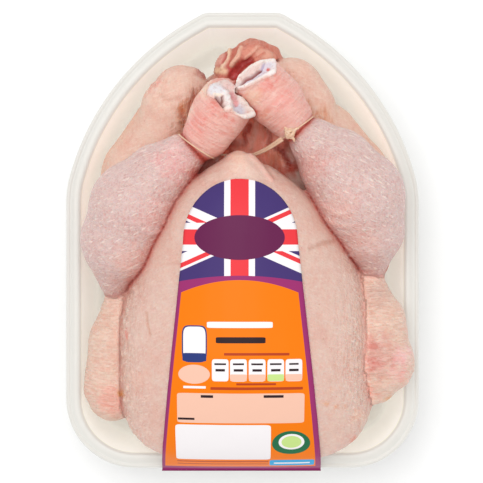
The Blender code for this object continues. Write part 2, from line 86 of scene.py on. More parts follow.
# Breast, from the tip over the vent to the neck end
BREAST_MIDDLE = (2.5, -62.0)
BREAST_HALF_WIDTH = 74.0
BREAST_TIP_RUN = 111.0
BREAST_NECK_RUN = 64.6
BREAST_LEVEL = 52.0
BREAST_TIP_RISE = 28.0
BREAST_NECK_RISE = 18.0
BREAST_HEIGHT = 58.0
BREAST_DEPTH = 50.0
BREAST_TIP_SHIFT = -4.0
BREAST_RISE_START = 0.2
BREAST_TIP_POWERS = (0.7, 0.68, 0.8)
BREAST_LAST_SHARE = 0.999
BREAST_NECK_ROUND = 3.6
BREAST_NECK_FALL = (1.8, 0.72)
BREAST_NECK_UNDERCUT = (2.5, 0.6)
KEEL_TIP = ((-1, 44, 82, 7.5), (-0.6, 36, 88, 9))
BACK = ((0, -8, 33), (62, 100, 33))
RUMP = ((2, 66, 36), (36, 36, 24))

SEAT_LEVEL = PLASTIC + 0.5
SEAT_BLEND = 2.0

# How widely neighbouring forms flow into each other
BODY_BLEND = 14.0
KEEL_BLEND = 6.0
BEAD_BLEND = 3.0
VENT_BLEND = 3.0
TAIL_BLEND = 3.0
FOLD_BLEND = 2.0
THIGH_CREASE = 2.5
CREASE = 2.2
CUT_BLEND = 1.2

# Limbs are chains of beads: x, y, z and radius, from the end by the breast to the free end
LEFT_DRUMSTICK = (
    (-74, -24, 58, 8.5),
    (-70, 0, 70, 22),
    (-62.5, 20, 76, 24),
    (-48, 37, 79, 17.5),
    (-35.5, 47, 79.5, 12.2),
    (-25, 52.5, 80.5, 8.2),
)
LEFT_STUMP = ((-25, 52.5, 80.5, 8.2), (-20, 60, 82, 13.2), (-14, 70.5, 85, 15.4), (-4, 84, 91, 16))
LEFT_CUT = ((-7.6, 79.4, 92.5), (0.40, 0.69, 0.60))
LEFT_THIGH = ((-73, -16, 52, 11), (-65, 8, 40, 22.5), (-57, 38, 37, 25), (-44, 66, 38, 20))
LEFT_HIP = ((-46, 56, 46, 18), (-41, 77, 50, 17), (-35.5, 85, 50, 16.5))
RIGHT_DRUMSTICK = (
    (75, -16, 60, 7),
    (73, 6, 70, 19),
    (66, 25, 75, 26),
    (54, 42, 78, 21),
    (40.5, 55.5, 79, 13),
    (31.5, 63.5, 79.5, 7.2),
)
RIGHT_STUMP = ((31.5, 63.5, 79.5, 7.2), (26.5, 70, 80.5, 12.4), (19, 79, 82.5, 15), (5, 95, 86, 14.6))
RIGHT_CUT = ((7.4, 92.8, 86.5), (-0.58, 0.70, 0.42))
RIGHT_THIGH = ((74, -12, 54, 11), (67, 12, 42, 22.5), (60.5, 36, 38, 25.5), (47, 60, 38, 21))
RIGHT_HIP = ((44, 58, 46, 18), (35, 77, 49, 18), (28.5, 88, 49, 18))
BONE_HEAD_RADIUS = 6.6
BONE_HEAD_SPREAD = 6.3
BONE_HEAD_SINK = 4.6
LEFT_WING = ((-70, -32, 52, 9), (-76, -58, 51, 12.5), (-77, -84, 51, 14.6), (-75.5, -91, 50, 13.8))
RIGHT_WING = ((72, -24, 58, 9), (79, -47, 62, 14.5), (81, -70, 64, 17), (77, -83, 62, 11))

# Tail stub with its ridges of cut flesh, and the vent with the folds inside it
TAIL = ((-9, 88, 45, 10), (-4, 99, 46, 11), (6, 105.5, 46, 11), (15, 106, 45, 8))
TAIL_RIDGES = (
    ((-12, 92, 54, 3), (-2, 103, 57, 3.2), (8, 112, 54, 3)),
    ((-6, 88, 56, 3), (3, 97, 59, 3.4), (14, 106, 54, 3)),
)
VENT = ((9, 62, 74, 16), (5, 46, 64, 17), (3, 26, 60, 14))
VENT_FOLDS = (
    ((-9, 66, 62, 5), (-2, 58, 55, 6), (0, 46, 50, 7)),
    ((8, 74, 62, 5), (8, 62, 53, 6), (6, 48, 48, 7)),
    ((23, 63, 56, 6), (18, 52, 53, 6), (14, 42, 51, 7)),
)

SKIN_BOX = ((-108.0, -136.0, -2.0), (108.0, 126.0, 118.0))
PINCH_FILL = -0.3
SLOPE_LIMITS = (0.3, 6.0)

# Elastic: a turn round each hock, and the strand that the keel's tip holds down
ELASTIC_RADIUS = 0.85
LEFT_HOCK = ((-25, 52.6, 80.5), (-0.56, -0.82, -0.10))
RIGHT_HOCK = ((31.2, 63.8, 79.5), (0.58, -0.81, -0.05))
TURN_RADIUS = 0.42
STRAND_SPLIT = (-0.3, 0.62, 0.0)
KNOT_SIZE = 1.35
TURN_STEPS = 48
TURN_LIMIT = 1.35
TURN_LIFT = 0.1
STRAND_ENDS = ((25, 58, 82), (-19, 50, 71))
KNOT_PLACE = (24.6, 59.6, 95.0)
KNOT_LOOPS = (
    ((-1.8, -1.2, 0.2), (-0.4, 1.6, 1.2), (1.4, 0.5, 1.5), (0.2, -1.9, 1.0), (-1.5, -0.3, 1.4)),
    ((0.9, -1.7, 0.4), (-1.0, 0.2, 2.0), (-2.0, 1.6, 0.8), (-0.2, 2.4, 0.6), (1.3, 1.1, 0.8)),
    ((-1.2, -2.0, 0.4), (0.6, -0.6, 2.3), (1.9, 1.6, 0.7), (-0.3, 0.8, 2.0), (-1.8, 0.5, 1.3)),
)
KNOT_ENDS = (
    ((-1.2, 1.2, 1.2), (-2.4, 2.6, 1.3), (-3.2, 3.6, 0.9)),
    ((1.2, 0.6, 1.4), (2.4, 1.8, 1.6), (3.4, 2.0, 1.1)),
    ((0.4, -1.4, 1.1), (1.4, -2.6, 1.1), (1.6, -3.4, 0.6)),
)
KNOT_RADIUS = 0.9
KNOT_END_RADIUS = 0.6
UNDER_KEEL = ((13, 51.5, 75.5), (3, 48, 70), (-7, 48.5, 68))

# Label: an arch over the breast that widens towards the neck end
LABEL_THICKNESS = 0.25
LABEL_GAP = 0.9
LABEL_ARCH_START = -1.0
LABEL_ARCH_LENGTH = 34.7
LABEL_ARCH_HALF_WIDTH = 31.5
LABEL_SPREAD = 0.11
LABEL_END = -133.6
LABEL_MIDDLE_X = (-1.3, -0.6)
LABEL_FLAT_START = -130.2
LABEL_ARCH_TURN = 89.0
LABEL_ARCH_ROWS = 20
LABEL_ROWS = 70
LABEL_COLUMNS = 40
FILM_STEP = 0.8
FILM_HALF_WIDTH = 50.0
FILM_LINES = 61
FILM_TOP = 40.0
ABOVE_ALL = 200.0

# The print, in millimetres across the label and down it from the arch's top. Stripes fill the arch.
STRIPE_CENTRE = (-1.6, 33.4)
STRIPE_SLOPE = 0.45
UPRIGHT_HALVES = (8.4, 4.95)
LEVEL_HALVES = (7.8, 4.25)
SLANT_WHITE = (-4.2, 5.0)
SLANT_RED = (-2.7, 0.0)
PURPLE_START = (54.8, 0.003)
ORANGE_START = (57.2, 0.0068)
ORANGE_END = 184.5
SIDE_BORDER = 2.5
SIDE_BORDER_LEAN = 0.015

# Plain fields of the print: middle, half sizes, squareness and ink. Squareness 2 is an oval, 40 a box.
PRINT_FIELDS = (
    ((-1.6, 33.7), (24.65, 12.35), 2, "plum"),
    ((-1.5, 82.0), (18.0, 1.7), 12, "paper"),
    ((-1.0, 90.5), (13.6, 1.7), 12, "ink"),
    ((7.8, 98.2), (17.9, 0.7), 40, "rust"),
    ((-26.4, 92.6), (6.9, 10.2), 5, "navy"),
    ((-26.4, 92.6), (6.2, 9.5), 5, "paper"),
    ((-26.4, 100.0), (6.6, 2.3), 8, "navy"),
    ((-26.6, 109.5), (8.7, 5.4), 2, "peach"),
    ((-26.4, 116.9), (6.2, 0.7), 40, "paper"),
    ((7.5, 114.9), (10.9, 0.6), 40, "rust"),
    ((7.8, 117.5), (25.4, 0.8), 40, "rust"),
    ((-1.0, 129.7), (35.2, 9.3), 24, "peach"),
    ((-19.6, 122.3), (3.4, 0.8), 40, "ink"),
    ((17.1, 122.2), (5.5, 0.8), 40, "ink"),
    ((-31.2, 136.4), (4.6, 0.7), 40, "ink"),
    ((-10.8, 154.6), (26.6, 14.4), 24, "paper"),
    ((27.2, 153.6), (10.7, 9.2), 2, "green"),
    ((27.4, 152.5), (7.2, 6.0), 2, "paper"),
    ((27.4, 152.5), (5.6, 4.6), 2, "lime"),
    ((-11.2, 172.0), (25.8, 0.7), 40, "rust"),
    ((-11.2, 176.6), (25.8, 0.7), 40, "rust"),
    ((28.1, 175.0), (12.7, 5.4), 12, "cyan"),
    ((28.1, 175.0), (10.2, 1.2), 40, "paper"),
)

# Five small panels of the print: middle across, half width of the top line, and ink of the foot if it has one
SMALL_PANELS = (
    (-12.2, 3.2, None), (-2.2, 3.0, "peach"), (8.0, 3.2, "peach"), (18.2, 3.2, "lime"), (28.2, 2.6, "peach"),
)
PANEL_LEVEL = 107.1
PANEL_HALVES = (4.6, 6.2)
PANEL_FOOT_LEVEL = 111.2
PANEL_FOOT_HALVES = (4.5, 1.9)
PANEL_TOP_LINE_LEVEL = 103.6
PANEL_TOP_LINE_HALF = 0.5
PANEL_LINE_LEVEL = 107.0
PANEL_LINE_HALVES = (2.6, 0.7)

# Finer skins over the cut joints and the tail: outline seen from above, colour, and strokes. Each stroke
# has a colour, a half width, how far it stands up or sinks, and the way that it runs.
# Strokes that sink are darker and those that stand up paler: partly the tissue's own colours and partly
# painted shade and highlight.
LEFT_JOINT = (
    ((-18.7, 87.4), (-20.2, 81.5), (-15.9, 79.0), (-10.2, 72.2), (-5.7, 71.2), (0.8, 67.8), (7.0, 71.3),
     (1.2, 80.4), (-5.2, 88.6), (-10.4, 91.0)),
    "#e6cdc5", "#e9b9ab",
    (
        ("#e4dfe3", 4.6, 0.9, ((-15.5, 83.8), (-13.5, 83.4))),
        ("#ebcac3", 3.0, 0.2, ((-9.4, 86.2), (-5.7, 86.9))),
        ("#f1e3d4", 1.0, 0.3, ((-16.0, 80.9), (-12.6, 80.7))),
        ("#cdc6cf", 3.5, -1.7, ((-3.2, 74.4), (-1.6, 73.2))),
        ("#dc9c9c", 1.7, -1.1, ((-6.2, 82.0), (-3.3, 76.8))),
        ("#dd7f7e", 1.6, -0.3, ((-2.1, 84.0), (-1.0, 82.9))),
        ("#f0e8e5", 2.4, 1.7, ((-9.9, 81.4), (-8.2, 77.2), (-7.0, 73.6))),
        ("#efe3da", 2.1, 1.2, ((-1.4, 80.6), (2.4, 76.9), (6.0, 72.6))),
        ("#cfa07f", 0.5, -0.4, ((1.6, 78.4), (4.2, 74.2))),
        ("#f2e7e0", 1.3, 0.8, ((-9.4, 72.6), (-4.8, 71.0), (0.8, 69.0), (5.2, 70.6))),
        ("#7e2f27", 1.15, -1.9, ((-14.8, 79.0), (-13.0, 77.2), (-11.2, 74.4))),
        ("#8f5850", 0.6, -0.9, ((-11.9, 79.8), (-11.3, 77.0))),
        ("#f3e6de", 0.7, 0.5, ((-16.8, 79.6), (-13.9, 76.4), (-10.4, 72.9))),
    ),
)
RIGHT_JOINT = (
    ((-5.4, 88.8), (-2.0, 94.2), (2.8, 98.8), (10.2, 102.2), (18.0, 102.2), (19.2, 97.0), (18.4, 92.6),
     (13.0, 90.6), (8.3, 88.3), (2.8, 85.8), (-1.6, 84.4), (-4.0, 86.2)),
    "#e8d3cd", "#e9b9ab",
    (
        ("#eed3cb", 2.4, 0.6, ((0.8, 91.6), (6.0, 95.4), (9.6, 98.6))),
        ("#e4dce0", 2.8, 0.2, ((16.4, 98.2), (16.2, 97.0))),
        ("#ddd0da", 2.0, -0.5, ((0.6, 87.4), (4.9, 89.5), (9.4, 92.2), (12.3, 95.0), (14.4, 98.4))),
        ("#b9abc4", 0.6, -0.8, ((10.2, 95.0), (11.6, 97.6), (12.2, 99.4))),
        ("#f4eae1", 1.2, 0.9, ((-3.8, 88.8), (-0.6, 94.2), (4.8, 98.2), (11.6, 100.9), (17.2, 100.9))),
        ("#f4ebe7", 1.1, 0.8, ((-1.5, 85.6), (2.8, 87.0), (8.3, 89.5), (13.0, 92.0), (17.5, 93.9))),
        ("#94504f", 0.8, -1.4, ((-0.8, 87.8), (1.8, 90.1), (5.1, 91.5), (7.9, 93.8), (9.8, 94.9))),
        ("#d8584c", 1.0, -0.2, ((14.2, 95.7), (14.9, 95.3))),
    ),
)
TAIL_FLESH = (
    ((-17.5, 98.0), (-17.0, 104.5), (-12.5, 108.0), (-6.0, 111.5), (4.0, 113.0), (13.0, 112.0), (21.0, 106.0),
     (21.0, 98.0), (8.0, 95.0), (-2.0, 90.0), (-10.0, 90.0)),
    "#c46c5a", "#c8745f",
    (
        ("#dda091", 3.6, 0.5, ((-14.6, 103.4), (-11.6, 104.6))),
        ("#d98d78", 4.4, 0.4, ((2.6, 107.6), (8.4, 109.4))),
        ("#e0a48e", 3.6, 0.3, ((10.4, 107.4), (16.0, 106.0))),
        ("#a93833", 3.0, -1.3, ((-5.2, 94.6), (-1.6, 100.0), (3.8, 103.2))),
        ("#bf4743", 2.6, -0.7, ((-7.0, 98.4), (-5.0, 95.6))),
        ("#b9544a", 1.4, -1.0, ((-10.4, 102.4), (-8.6, 106.8))),
        ("#e6bd9c", 2.2, 0.3, ((-14.0, 98.2), (-10.4, 97.4))),
        ("#ebc6aa", 1.2, 1.2, ((-11.4, 99.4), (-8.0, 104.6), (-7.0, 110.0))),
        ("#e3b39b", 1.2, 1.2, ((-6.4, 100.2), (-2.4, 105.4), (-0.4, 111.0))),
        ("#e0a58f", 1.0, 0.9, ((1.4, 104.6), (5.6, 108.4), (8.8, 112.0))),
        ("#d2856f", 0.9, 0.7, ((7.6, 103.8), (12.4, 107.4))),
    ),
)
PATCH_STEP = 0.5
PATCH_MARGIN = 1.5
PATCH_LIFT = 0.45
PATCH_DROP = 1.1
PATCH_TUCK = 2.6
PATCH_REACH = 0.8
JOINT_TOP = 112.0
TAIL_TOP = 68.0
DRAPE_STEPS = 40
DRAPE_PACE = 0.8

# Blushes and stains of the skin, and some painted shade in its crevices: part, place seen from above, radius,
# colour and strength
BLUSHES = (
    ("left stump", (-15.5, 75.2), 4.5, "#e2766c", 0.62),
    ("left stump", (-9.4, 69.4), 2.0, "#e2766c", 0.6),
    ("left stump", (-5.7, 66.6), 1.6, "#e2766c", 0.55),
    ("left stump", (-27.0, 66.0), 9.0, "#f29c94", 0.5),
    ("left stump", (-21.0, 86.0), 7.0, "#f2d3bb", 0.7),
    ("right stump", (14.6, 86.4), 5.0, "#e2766c", 0.6),
    ("right stump", (19.4, 90.4), 3.0, "#e88a7e", 0.5),
    ("right stump", (23.3, 78.5), 8.0, "#f3a49c", 0.45),
    ("right stump", (5.0, 80.0), 6.0, "#ecc3a6", 0.6),
    ("right stump", (12.0, 70.0), 5.0, "#dd9a80", 0.5),
    ("left drumstick", (-38.0, 43.0), 13.0, "#eeb0b0", 0.55),
    ("left drumstick", (-50.0, 14.0), 12.0, "#e3b4ae", 0.5),
    ("left drumstick", (-62.0, -12.0), 13.0, "#e8b6a8", 0.45),
    ("right drumstick", (40.0, 42.0), 11.0, "#dc9f96", 0.6),
    ("right drumstick", (54.0, 18.0), 12.0, "#dfab9f", 0.5),
    ("right drumstick", (68.0, 0.0), 12.0, "#e2aea0", 0.45),
    ("left thigh", (-31.0, 68.0), 8.0, "#c07a4c", 0.75),
    ("left thigh", (-26.0, 82.0), 6.5, "#b9694a", 0.7),
    ("left thigh", (-37.0, 55.0), 7.0, "#cf9472", 0.5),
    ("left thigh", (-24.0, 97.0), 4.0, "#bd6455", 0.6),
    ("right thigh", (38.0, 72.0), 7.0, "#cf8f68", 0.5),
    ("right thigh", (26.0, 92.0), 6.0, "#e3ab93", 0.5),
    ("left thigh", (-33.5, 76.0), 6.0, "#c97a42", 0.8),
    ("left thigh", (-33.0, 60.0), 5.0, "#d28a5a", 0.7),
    ("left thigh", (-27.5, 65.0), 3.5, "#b9603c", 0.6),
    ("left thigh", (-52.0, 92.0), 8.0, "#eba495", 0.55),
    ("right thigh", (37.0, 75.0), 4.5, "#d0824e", 0.75),
    ("right thigh", (45.0, 71.0), 8.0, "#dfa67e", 0.6),
    ("left stump", (-31.0, 72.0), 5.0, "#f3dcca", 0.6),
    # These nine, dark reds in the low crevices between the legs and the body, are partly the red of the
    # tissue there and partly painted shade
    ("deep", (-19.0, 49.0), 9.0, "#b05039", 0.85),
    ("deep", (-24.0, 43.5), 7.0, "#a83420", 0.9),
    ("deep", (20.0, 46.0), 8.0, "#dd8560", 0.9),
    ("deep", (19.0, 38.0), 6.0, "#b8442c", 0.85),
    ("deep", (29.0, 42.0), 4.5, "#a83420", 0.85),
    ("torso", (-26.0, 40.0), 5.5, "#b84a36", 0.75),
    ("left drumstick", (-26.0, 40.0), 4.5, "#c4604c", 0.6),
    ("torso", (26.0, 41.0), 6.5, "#b8442c", 0.8),
    ("right drumstick", (28.0, 41.0), 4.0, "#c4604c", 0.6),
    ("right wing", (80.0, -66.0), 14.0, "#cf9286", 0.7),
    ("right wing", (78.0, -30.0), 10.0, "#d2b0a2", 0.7),
    ("right wing", (91.0, -66.0), 6.0, "#f3bcbc", 0.8),
    ("left wing", (-66.0, -97.0), 6.0, "#d98f84", 0.6),
    # Painted shade where the left wing's lower end meets the breast
    ("left wing", (-68.5, -93.0), 5.0, "#c9705e", 0.6),
    ("torso", (-58.0, -78.0), 7.0, "#e6b3a0", 0.4),
    ("torso", (52.4, -93.9), 1.7, "#df9260", 0.7),
    ("torso", (47.0, -91.8), 1.5, "#df9f68", 0.6),
    ("torso", (48.9, -83.8), 1.5, "#dca27c", 0.5),
    ("torso", (58.0, -93.7), 1.5, "#df9f78", 0.5),
    ("torso", (64.5, -115.0), 3.4, "#e0704a", 0.65),
    ("torso", (66.0, -100.0), 5.0, "#ecb99c", 0.5),
    ("torso", (19.5, 46.0), 6.5, "#d98f78", 0.6),
    ("torso", (-2.0, 47.0), 7.0, "#f2cdb6", 0.5),
    ("left wing", (-75.0, -92.0), 9.0, "#eda392", 0.7),
    ("left wing", (-66.0, -84.0), 5.0, "#d98878", 0.6),
    ("left wing", (-64.0, -60.0), 5.0, "#e3907c", 0.4),
    ("right wing", (72.0, -58.0), 6.0, "#d0776c", 0.7),
    ("right wing", (74.0, -70.0), 5.0, "#d98078", 0.6),
    ("right wing", (71.0, -86.0), 6.0, "#e58d7a", 0.6),
    ("right wing", (88.0, -76.0), 6.0, "#efaaa6", 0.6),
    ("right wing", (84.0, -92.0), 4.0, "#e8a24a", 0.5),
)

# Skin: how widely the parts' colours flow into each other, the edge of the vent, the thinner skin over the
# keel, and the heights below which low places take dark reds that are partly painted shade
PAIRED_PARTS = ("drumstick", "stump", "thigh", "wing")
BORDER_SOFTNESS = 1.1
VENT_EDGE = 2.0
KEEL_SKIN = ((-1.0, 40.0, 94.0), (13.0, 24.0, 12.0))
LOW_SHADE_LEVELS = (80.0, 72.0)

# Skin: how far from a limb its scales, blushes and creases reach, and the size of the scales
WING_SCALES_REACH = 22.0
HIP_SCALES_REACH = 4.0
SCALE_WIDTHS = (5.2, 3.8, 5.2)
SCALE_HEIGHT = 1.3
LEAST_SCALE = 0.05
INNER_LEG_REACH = 11.0
BESIDE_LEG_REACH = 4.0
WING_FOOT_REACH = 2.0
CREASE_REACH = 1.2
WING_FOOT_HEIGHT = 1.8
LEFT_WING_GRAIN = 40.0

# Shares of red, green and blue that a place loses or gains
SCALE_EDGE_LOSS = (0.08, 0.24, 0.28)
SCALE_TOP_GAIN = (0.09, 0.14, 0.13)
# Painted shade on the legs near the body and on the body beside them, partly their redder skin
INNER_LEG_SHADE = (0.096, 0.368, 0.40)
BESIDE_LEG_SHADE = (0.02, 0.20, 0.24)
# Painted light that lifts the shade of the creases where the wings lie on the breast
WING_CREASE_LIGHT = (0.80, 0.60, 0.56)

# Way that the skin's pale ridges run, seen from above, outwards and towards the tail
RIDGE_TURN = (0.906, -0.423)

# Way along the left hip beside the drumstick where the skin is bumpy
HIP_BUMPS = ((-58.6, 44.0), (-50.0, 44.5), (-41.5, 47.0))

# Long ridges and creases of the skin: part, way seen from above, half width, height, colour and strength
# Most lines that sink are darker and most that stand up paler: partly the skin's own colour and partly
# painted shade and highlight
SKIN_LINES = (
    ("deep", ((3.6, 65.4), (1.7, 60.6), (2.6, 56.8)), 1.6, -1.2, "#b8432e", 0.8),
    ("deep", ((7.9, 70.2), (7.0, 62.6), (4.6, 53.0)), 1.6, 0.8, "#dba28e", 0.7),
    ("deep", ((-5.5, 56.8), (0.7, 55.9)), 2.2, 0.8, "#b8695c", 0.7),
    ("deep", ((12.7, 68.3), (16.0, 59.7), (14.6, 55.9)), 1.3, -0.6, "#a85544", 0.6),
    ("deep", ((16.5, 54.8), (23.3, 50.7), (27.3, 44.4)), 1.6, -1.0, "#a02c18", 0.9),
    ("torso", ((-54.2, -40.9), (-53.1, -47.6), (-52.0, -53.3)), 0.8, -0.3, "#c98d74", 0.6),
    ("torso", ((-66.6, -51.5), (-66.2, -56.0)), 0.9, 0.2, "#df6450", 0.75),
    ("torso", ((-69.2, -87.0), (-68.8, -88.6)), 1.1, 0.4, "#c87a1c", 0.95),
    ("left wing", ((-70.6, -87.0), (-70.0, -88.6)), 1.1, 0.4, "#c87a1c", 0.95),
    ("left thigh", ((-29.2, 101.9), (-25.8, 99.5), (-22.2, 94.9)), 1.3, 0.8, "#a8433a", 0.85),
    ("left thigh", ((-35.0, 72.0), (-30.5, 64.0), (-31.5, 56.0)), 1.0, -0.4, "#b4573c", 0.7),
    ("left thigh", ((-27.0, 84.0), (-30.5, 76.0), (-28.5, 68.0)), 1.0, -0.4, "#b4573c", 0.7),
    ("torso", ((4.7, 47.6), (10.0, 42.0), (15.9, 33.6)), 1.3, 0.8, "#f0c4b6", 0.7),
    ("torso", ((6.4, 49.0), (12.2, 43.2), (18.0, 35.0)), 1.1, -0.4, "#d69f8e", 0.5),
    ("torso", ((37.9, -4.9), (44.6, -1.5), (51.3, -0.4)), 1.2, -0.5, "#c49684", 0.6),
    ("torso", ((-46.0, -14.0), (-38.0, -12.8), (-33.0, -13.0)), 1.1, -0.25, "#d3a08f", 0.4),
    ("right drumstick", ((45.0, 20.0), (52.0, 15.0), (58.0, 15.5)), 1.1, 0.5, "#f0cdc4", 0.5),
    ("right drumstick", ((47.0, 12.0), (55.0, 8.0), (63.0, 9.0)), 1.1, 0.5, "#f0cdc4", 0.5),
    ("left drumstick", ((-52.0, 22.0), (-46.0, 19.0), (-41.0, 20.0)), 1.1, 0.5, "#edc9c6", 0.5),
    ("left drumstick", ((-56.0, 6.0), (-50.0, 4.0), (-46.0, 5.5)), 1.1, 0.5, "#edc9c6", 0.5),
    ("left thigh", ((-47.0, 83.0), (-42.0, 80.6), (-35.0, 81.6)), 1.2, -0.6, "#cf9a84", 0.6),
    ("left thigh", ((-61.0, 52.0), (-60.4, 40.0)), 1.0, 0.6, "#f0cdb8", 0.5),
)

# The camera looks straight down from this height over the rim and sees this width at the rim's level
CAMERA_HEIGHT = 1300.0
CAMERA_VIEW_WIDTH = 280.14
CAMERA_AIM = (-0.58, -0.725)
SENSOR_WIDTH = 36.0

# The stage is in metres. Each lamp has a name, place, width and share of the power.
FLOOR_REACH = 3.0
FLOOR_DROP = 0.0002
FAR_LIMIT = 10.0
LAMPS = (
    ("overhead lamp", (-0.25, 0.35, 1.7), 1.1, 1.0),
    ("side lamp", (1.1, -0.5, 1.2), 0.9, 0.12),
)
LAMP_AIM = (0.0, 0.0, 0.05)

# Settings of a Mix node that lays a colour over another, and of one that darkens it
COVER = {"data_type": "RGBA"}
TINT = {"data_type": "RGBA", "blend_type": "MULTIPLY"}


def linear(text):
    """Linear red, green and blue of an sRGB hex colour such as #e0bfb2."""
    shares = [int(text[place:place + 2], 16) / 255.0 for place in (1, 3, 5)]
    return tuple(s / 12.92 if s <= 0.04045 else ((s + 0.055) / 1.055) ** 2.4 for s in shares)


def colour_setting(name, text, description):
    """A colour that the user can change, from its sRGB hex value."""
    return bpy.props.FloatVectorProperty(
        name=name, description=description, default=linear(text), size=3, min=0.0, max=1.0, subtype="COLOR",
    )


class BirdSettings(bpy.types.PropertyGroup):
    """Sizes and colours of the bird."""

    step: bpy.props.FloatProperty(
        name="Mesh step", description="Spacing of the grid that the skin is drawn from, in millimetres",
        default=1.45, min=1.0, max=6.0,
    )
    follicle_spacing: bpy.props.FloatProperty(
        name="Follicle spacing", description="Distance between feather follicles, in millimetres",
        default=3.6, min=1.0, max=10.0,
    )
    breast: colour_setting("Breast", "#dcbcae", "Skin over the breast")
    keel: colour_setting("Keel", "#f0d3c3", "Thin skin over the keel's tip")
    drumstick: colour_setting("Drumstick", "#d2b4b0", "Skin over the drumsticks")
    stump: colour_setting("Stump", "#e5aca0", "Gathered skin beyond the elastic")
    thigh: colour_setting("Thigh", "#e3bfad", "Skin over the thighs and hips")
    wing: colour_setting("Wing", "#e1bfac", "Skin over the wings")
    flesh: colour_setting("Flesh", "#cc7f6b", "Bare flesh of the tail")
    vent: colour_setting("Vent", "#ff9478", "Folds inside the vent")


class LabelSettings(bpy.types.PropertyGroup):
    """Colours of the label's print."""

    paper: colour_setting("Paper", "#f3eeef", "Unprinted paper")
    orange: colour_setting("Orange", "#f27a00", "Main field")
    purple: colour_setting("Purple", "#9a2f6c", "Border")
    plum: colour_setting("Plum", "#651f4c", "Plain oval")
    blue: colour_setting("Blue", "#453470", "Blue of the stripes")
    red: colour_setting("Red", "#e83c43", "Red of the stripes")
    peach: colour_setting("Peach", "#f1c1aa", "Pale panels")
    green: colour_setting("Green", "#1f6b45", "Small oval")
    cyan: colour_setting("Cyan", "#1ea7e0", "Small bar")
    lime: colour_setting("Lime", "#c5e08a", "Pale green fields")
    navy: colour_setting("Navy", "#2c3a78", "Badge's border")
    rust: colour_setting("Rust", "#b2401c", "Thin lines on the orange")
    ink: colour_setting("Ink", "#2e1c20", "Dark lines")


class TraySettings(bpy.types.PropertyGroup):
    """Colours of the tray and the elastic."""

    plastic: colour_setting("Plastic", "#bbb8b4", "Milky plastic of the tray's rim")
    # Painted light: colour of what faces up inside the tray below the rim, much paler than the rim
    lit_plastic: colour_setting("Thin plastic", "#fafdf3", "Thinner plastic of its wall and floor")
    elastic: colour_setting("Elastic", "#efcfb6", "Cream rubber of the elastic")


class StageSettings(bpy.types.PropertyGroup):
    """The floor and the lights."""

    floor: colour_setting("Floor", "#fbfbfb", "Plain floor")
    key_power: bpy.props.FloatProperty(
        name="Key power", description="Power of the large lamp overhead", default=12.0, min=0.0, unit="POWER",
    )
    fill_strength: bpy.props.FloatProperty(
        name="Fill", description="Strength of the even light from all round", default=0.78, min=0.0,
    )


def soft_union(first, second, blend):
    """The nearer of two distances, rounded over a blend in millimetres where they meet."""
    share = np.clip(0.5 + 0.5 * (second - first) / blend, 0.0, 1.0)
    return second + (first - second) * share - blend * share * (1.0 - share)


def soft_cut(solid, cutter, blend):
    """What is left of the solid outside the cutter, with a rounded edge."""
    return -soft_union(-solid, cutter, blend)


def limb(points, beads):
    """Distance to the hull of each bead and the next, joined along the chain."""
    nearest = None
    for bead, following in zip(beads, beads[1:]):
        start, run = np.array(bead[:3], float), np.subtract(following[:3], bead[:3]).astype(float)
        length = np.linalg.norm(run)
        growth = following[3] - bead[3]
        taper = growth / length
        along = (points - start) @ run / length
        aside = np.sqrt(np.maximum(((points - start) ** 2).sum(axis=1) - along**2, 0.0))
        share = np.clip((along + aside * taper / math.sqrt(1.0 - taper**2)) / length, 0.0, 1.0)
        distance = np.linalg.norm(points - start - share[:, None] * run, axis=1) - bead[3] - share * growth
        nearest = distance if nearest is None else soft_union(nearest, distance, BEAD_BLEND)
    return nearest


def egg(points, centre, radii):
    """Near enough the distance to an ellipsoid, exact at its skin."""
    scaled = (points - np.array(centre, float)) / np.array(radii, float)
    reach = np.linalg.norm(scaled, axis=1)
    slope = np.linalg.norm(scaled / np.array(radii, float), axis=1)
    return reach * (reach - 1.0) / np.maximum(slope, 1e-6)


def plane(points, point, normal):
    """Signed distance in front of a plane."""
    normal = np.array(normal, float)
    return (points - np.array(point, float)) @ (normal / np.linalg.norm(normal))


def breast_sections(y):
    """Centre, half width, widest level, and the heights above and below it of the breast's section at y."""
    tip = np.clip((y - BREAST_MIDDLE[1]) / BREAST_TIP_RUN, 0.0, BREAST_LAST_SHARE)
    neck = np.clip((BREAST_MIDDLE[1] - y) / BREAST_NECK_RUN, 0.0, BREAST_LAST_SHARE)
    lift = np.clip((tip - BREAST_RISE_START) / (1.0 - BREAST_RISE_START), 0.0, 1.0)
    lift = eased(lift)
    centre = BREAST_MIDDLE[0] + BREAST_TIP_SHIFT * tip**2
    narrowing, lowering, shallowing = [(1.0 - tip**2) ** power for power in BREAST_TIP_POWERS]
    half_width = BREAST_HALF_WIDTH * narrowing * (1.0 - neck**BREAST_NECK_ROUND) ** (1.0 / BREAST_NECK_ROUND)
    level = BREAST_LEVEL + BREAST_TIP_RISE * lift + BREAST_NECK_RISE * neck**2
    height = BREAST_HEIGHT * lowering * (1.0 - neck ** BREAST_NECK_FALL[0]) ** BREAST_NECK_FALL[1]
    depth = BREAST_DEPTH * shallowing * (1.0 - neck ** BREAST_NECK_UNDERCUT[0]) ** BREAST_NECK_UNDERCUT[1]
    return centre, half_width, level, height, depth


def breast_measure(points):
    """Negative inside the breast and positive outside, but not yet in true millimetres."""
    y = points[:, 1]
    centre, half_width, level, height, depth = breast_sections(y)
    rise = points[:, 2] - level
    reach = np.where(rise > 0.0, height, depth)
    away = np.hypot((points[:, 0] - centre) / half_width, rise / reach)
    beyond = np.maximum(y - BREAST_MIDDLE[1] - BREAST_TIP_RUN, 0.0)
    beyond = np.maximum(beyond, BREAST_MIDDLE[1] - BREAST_NECK_RUN - y)
    return (away - 1.0) * np.minimum(half_width, reach) + beyond


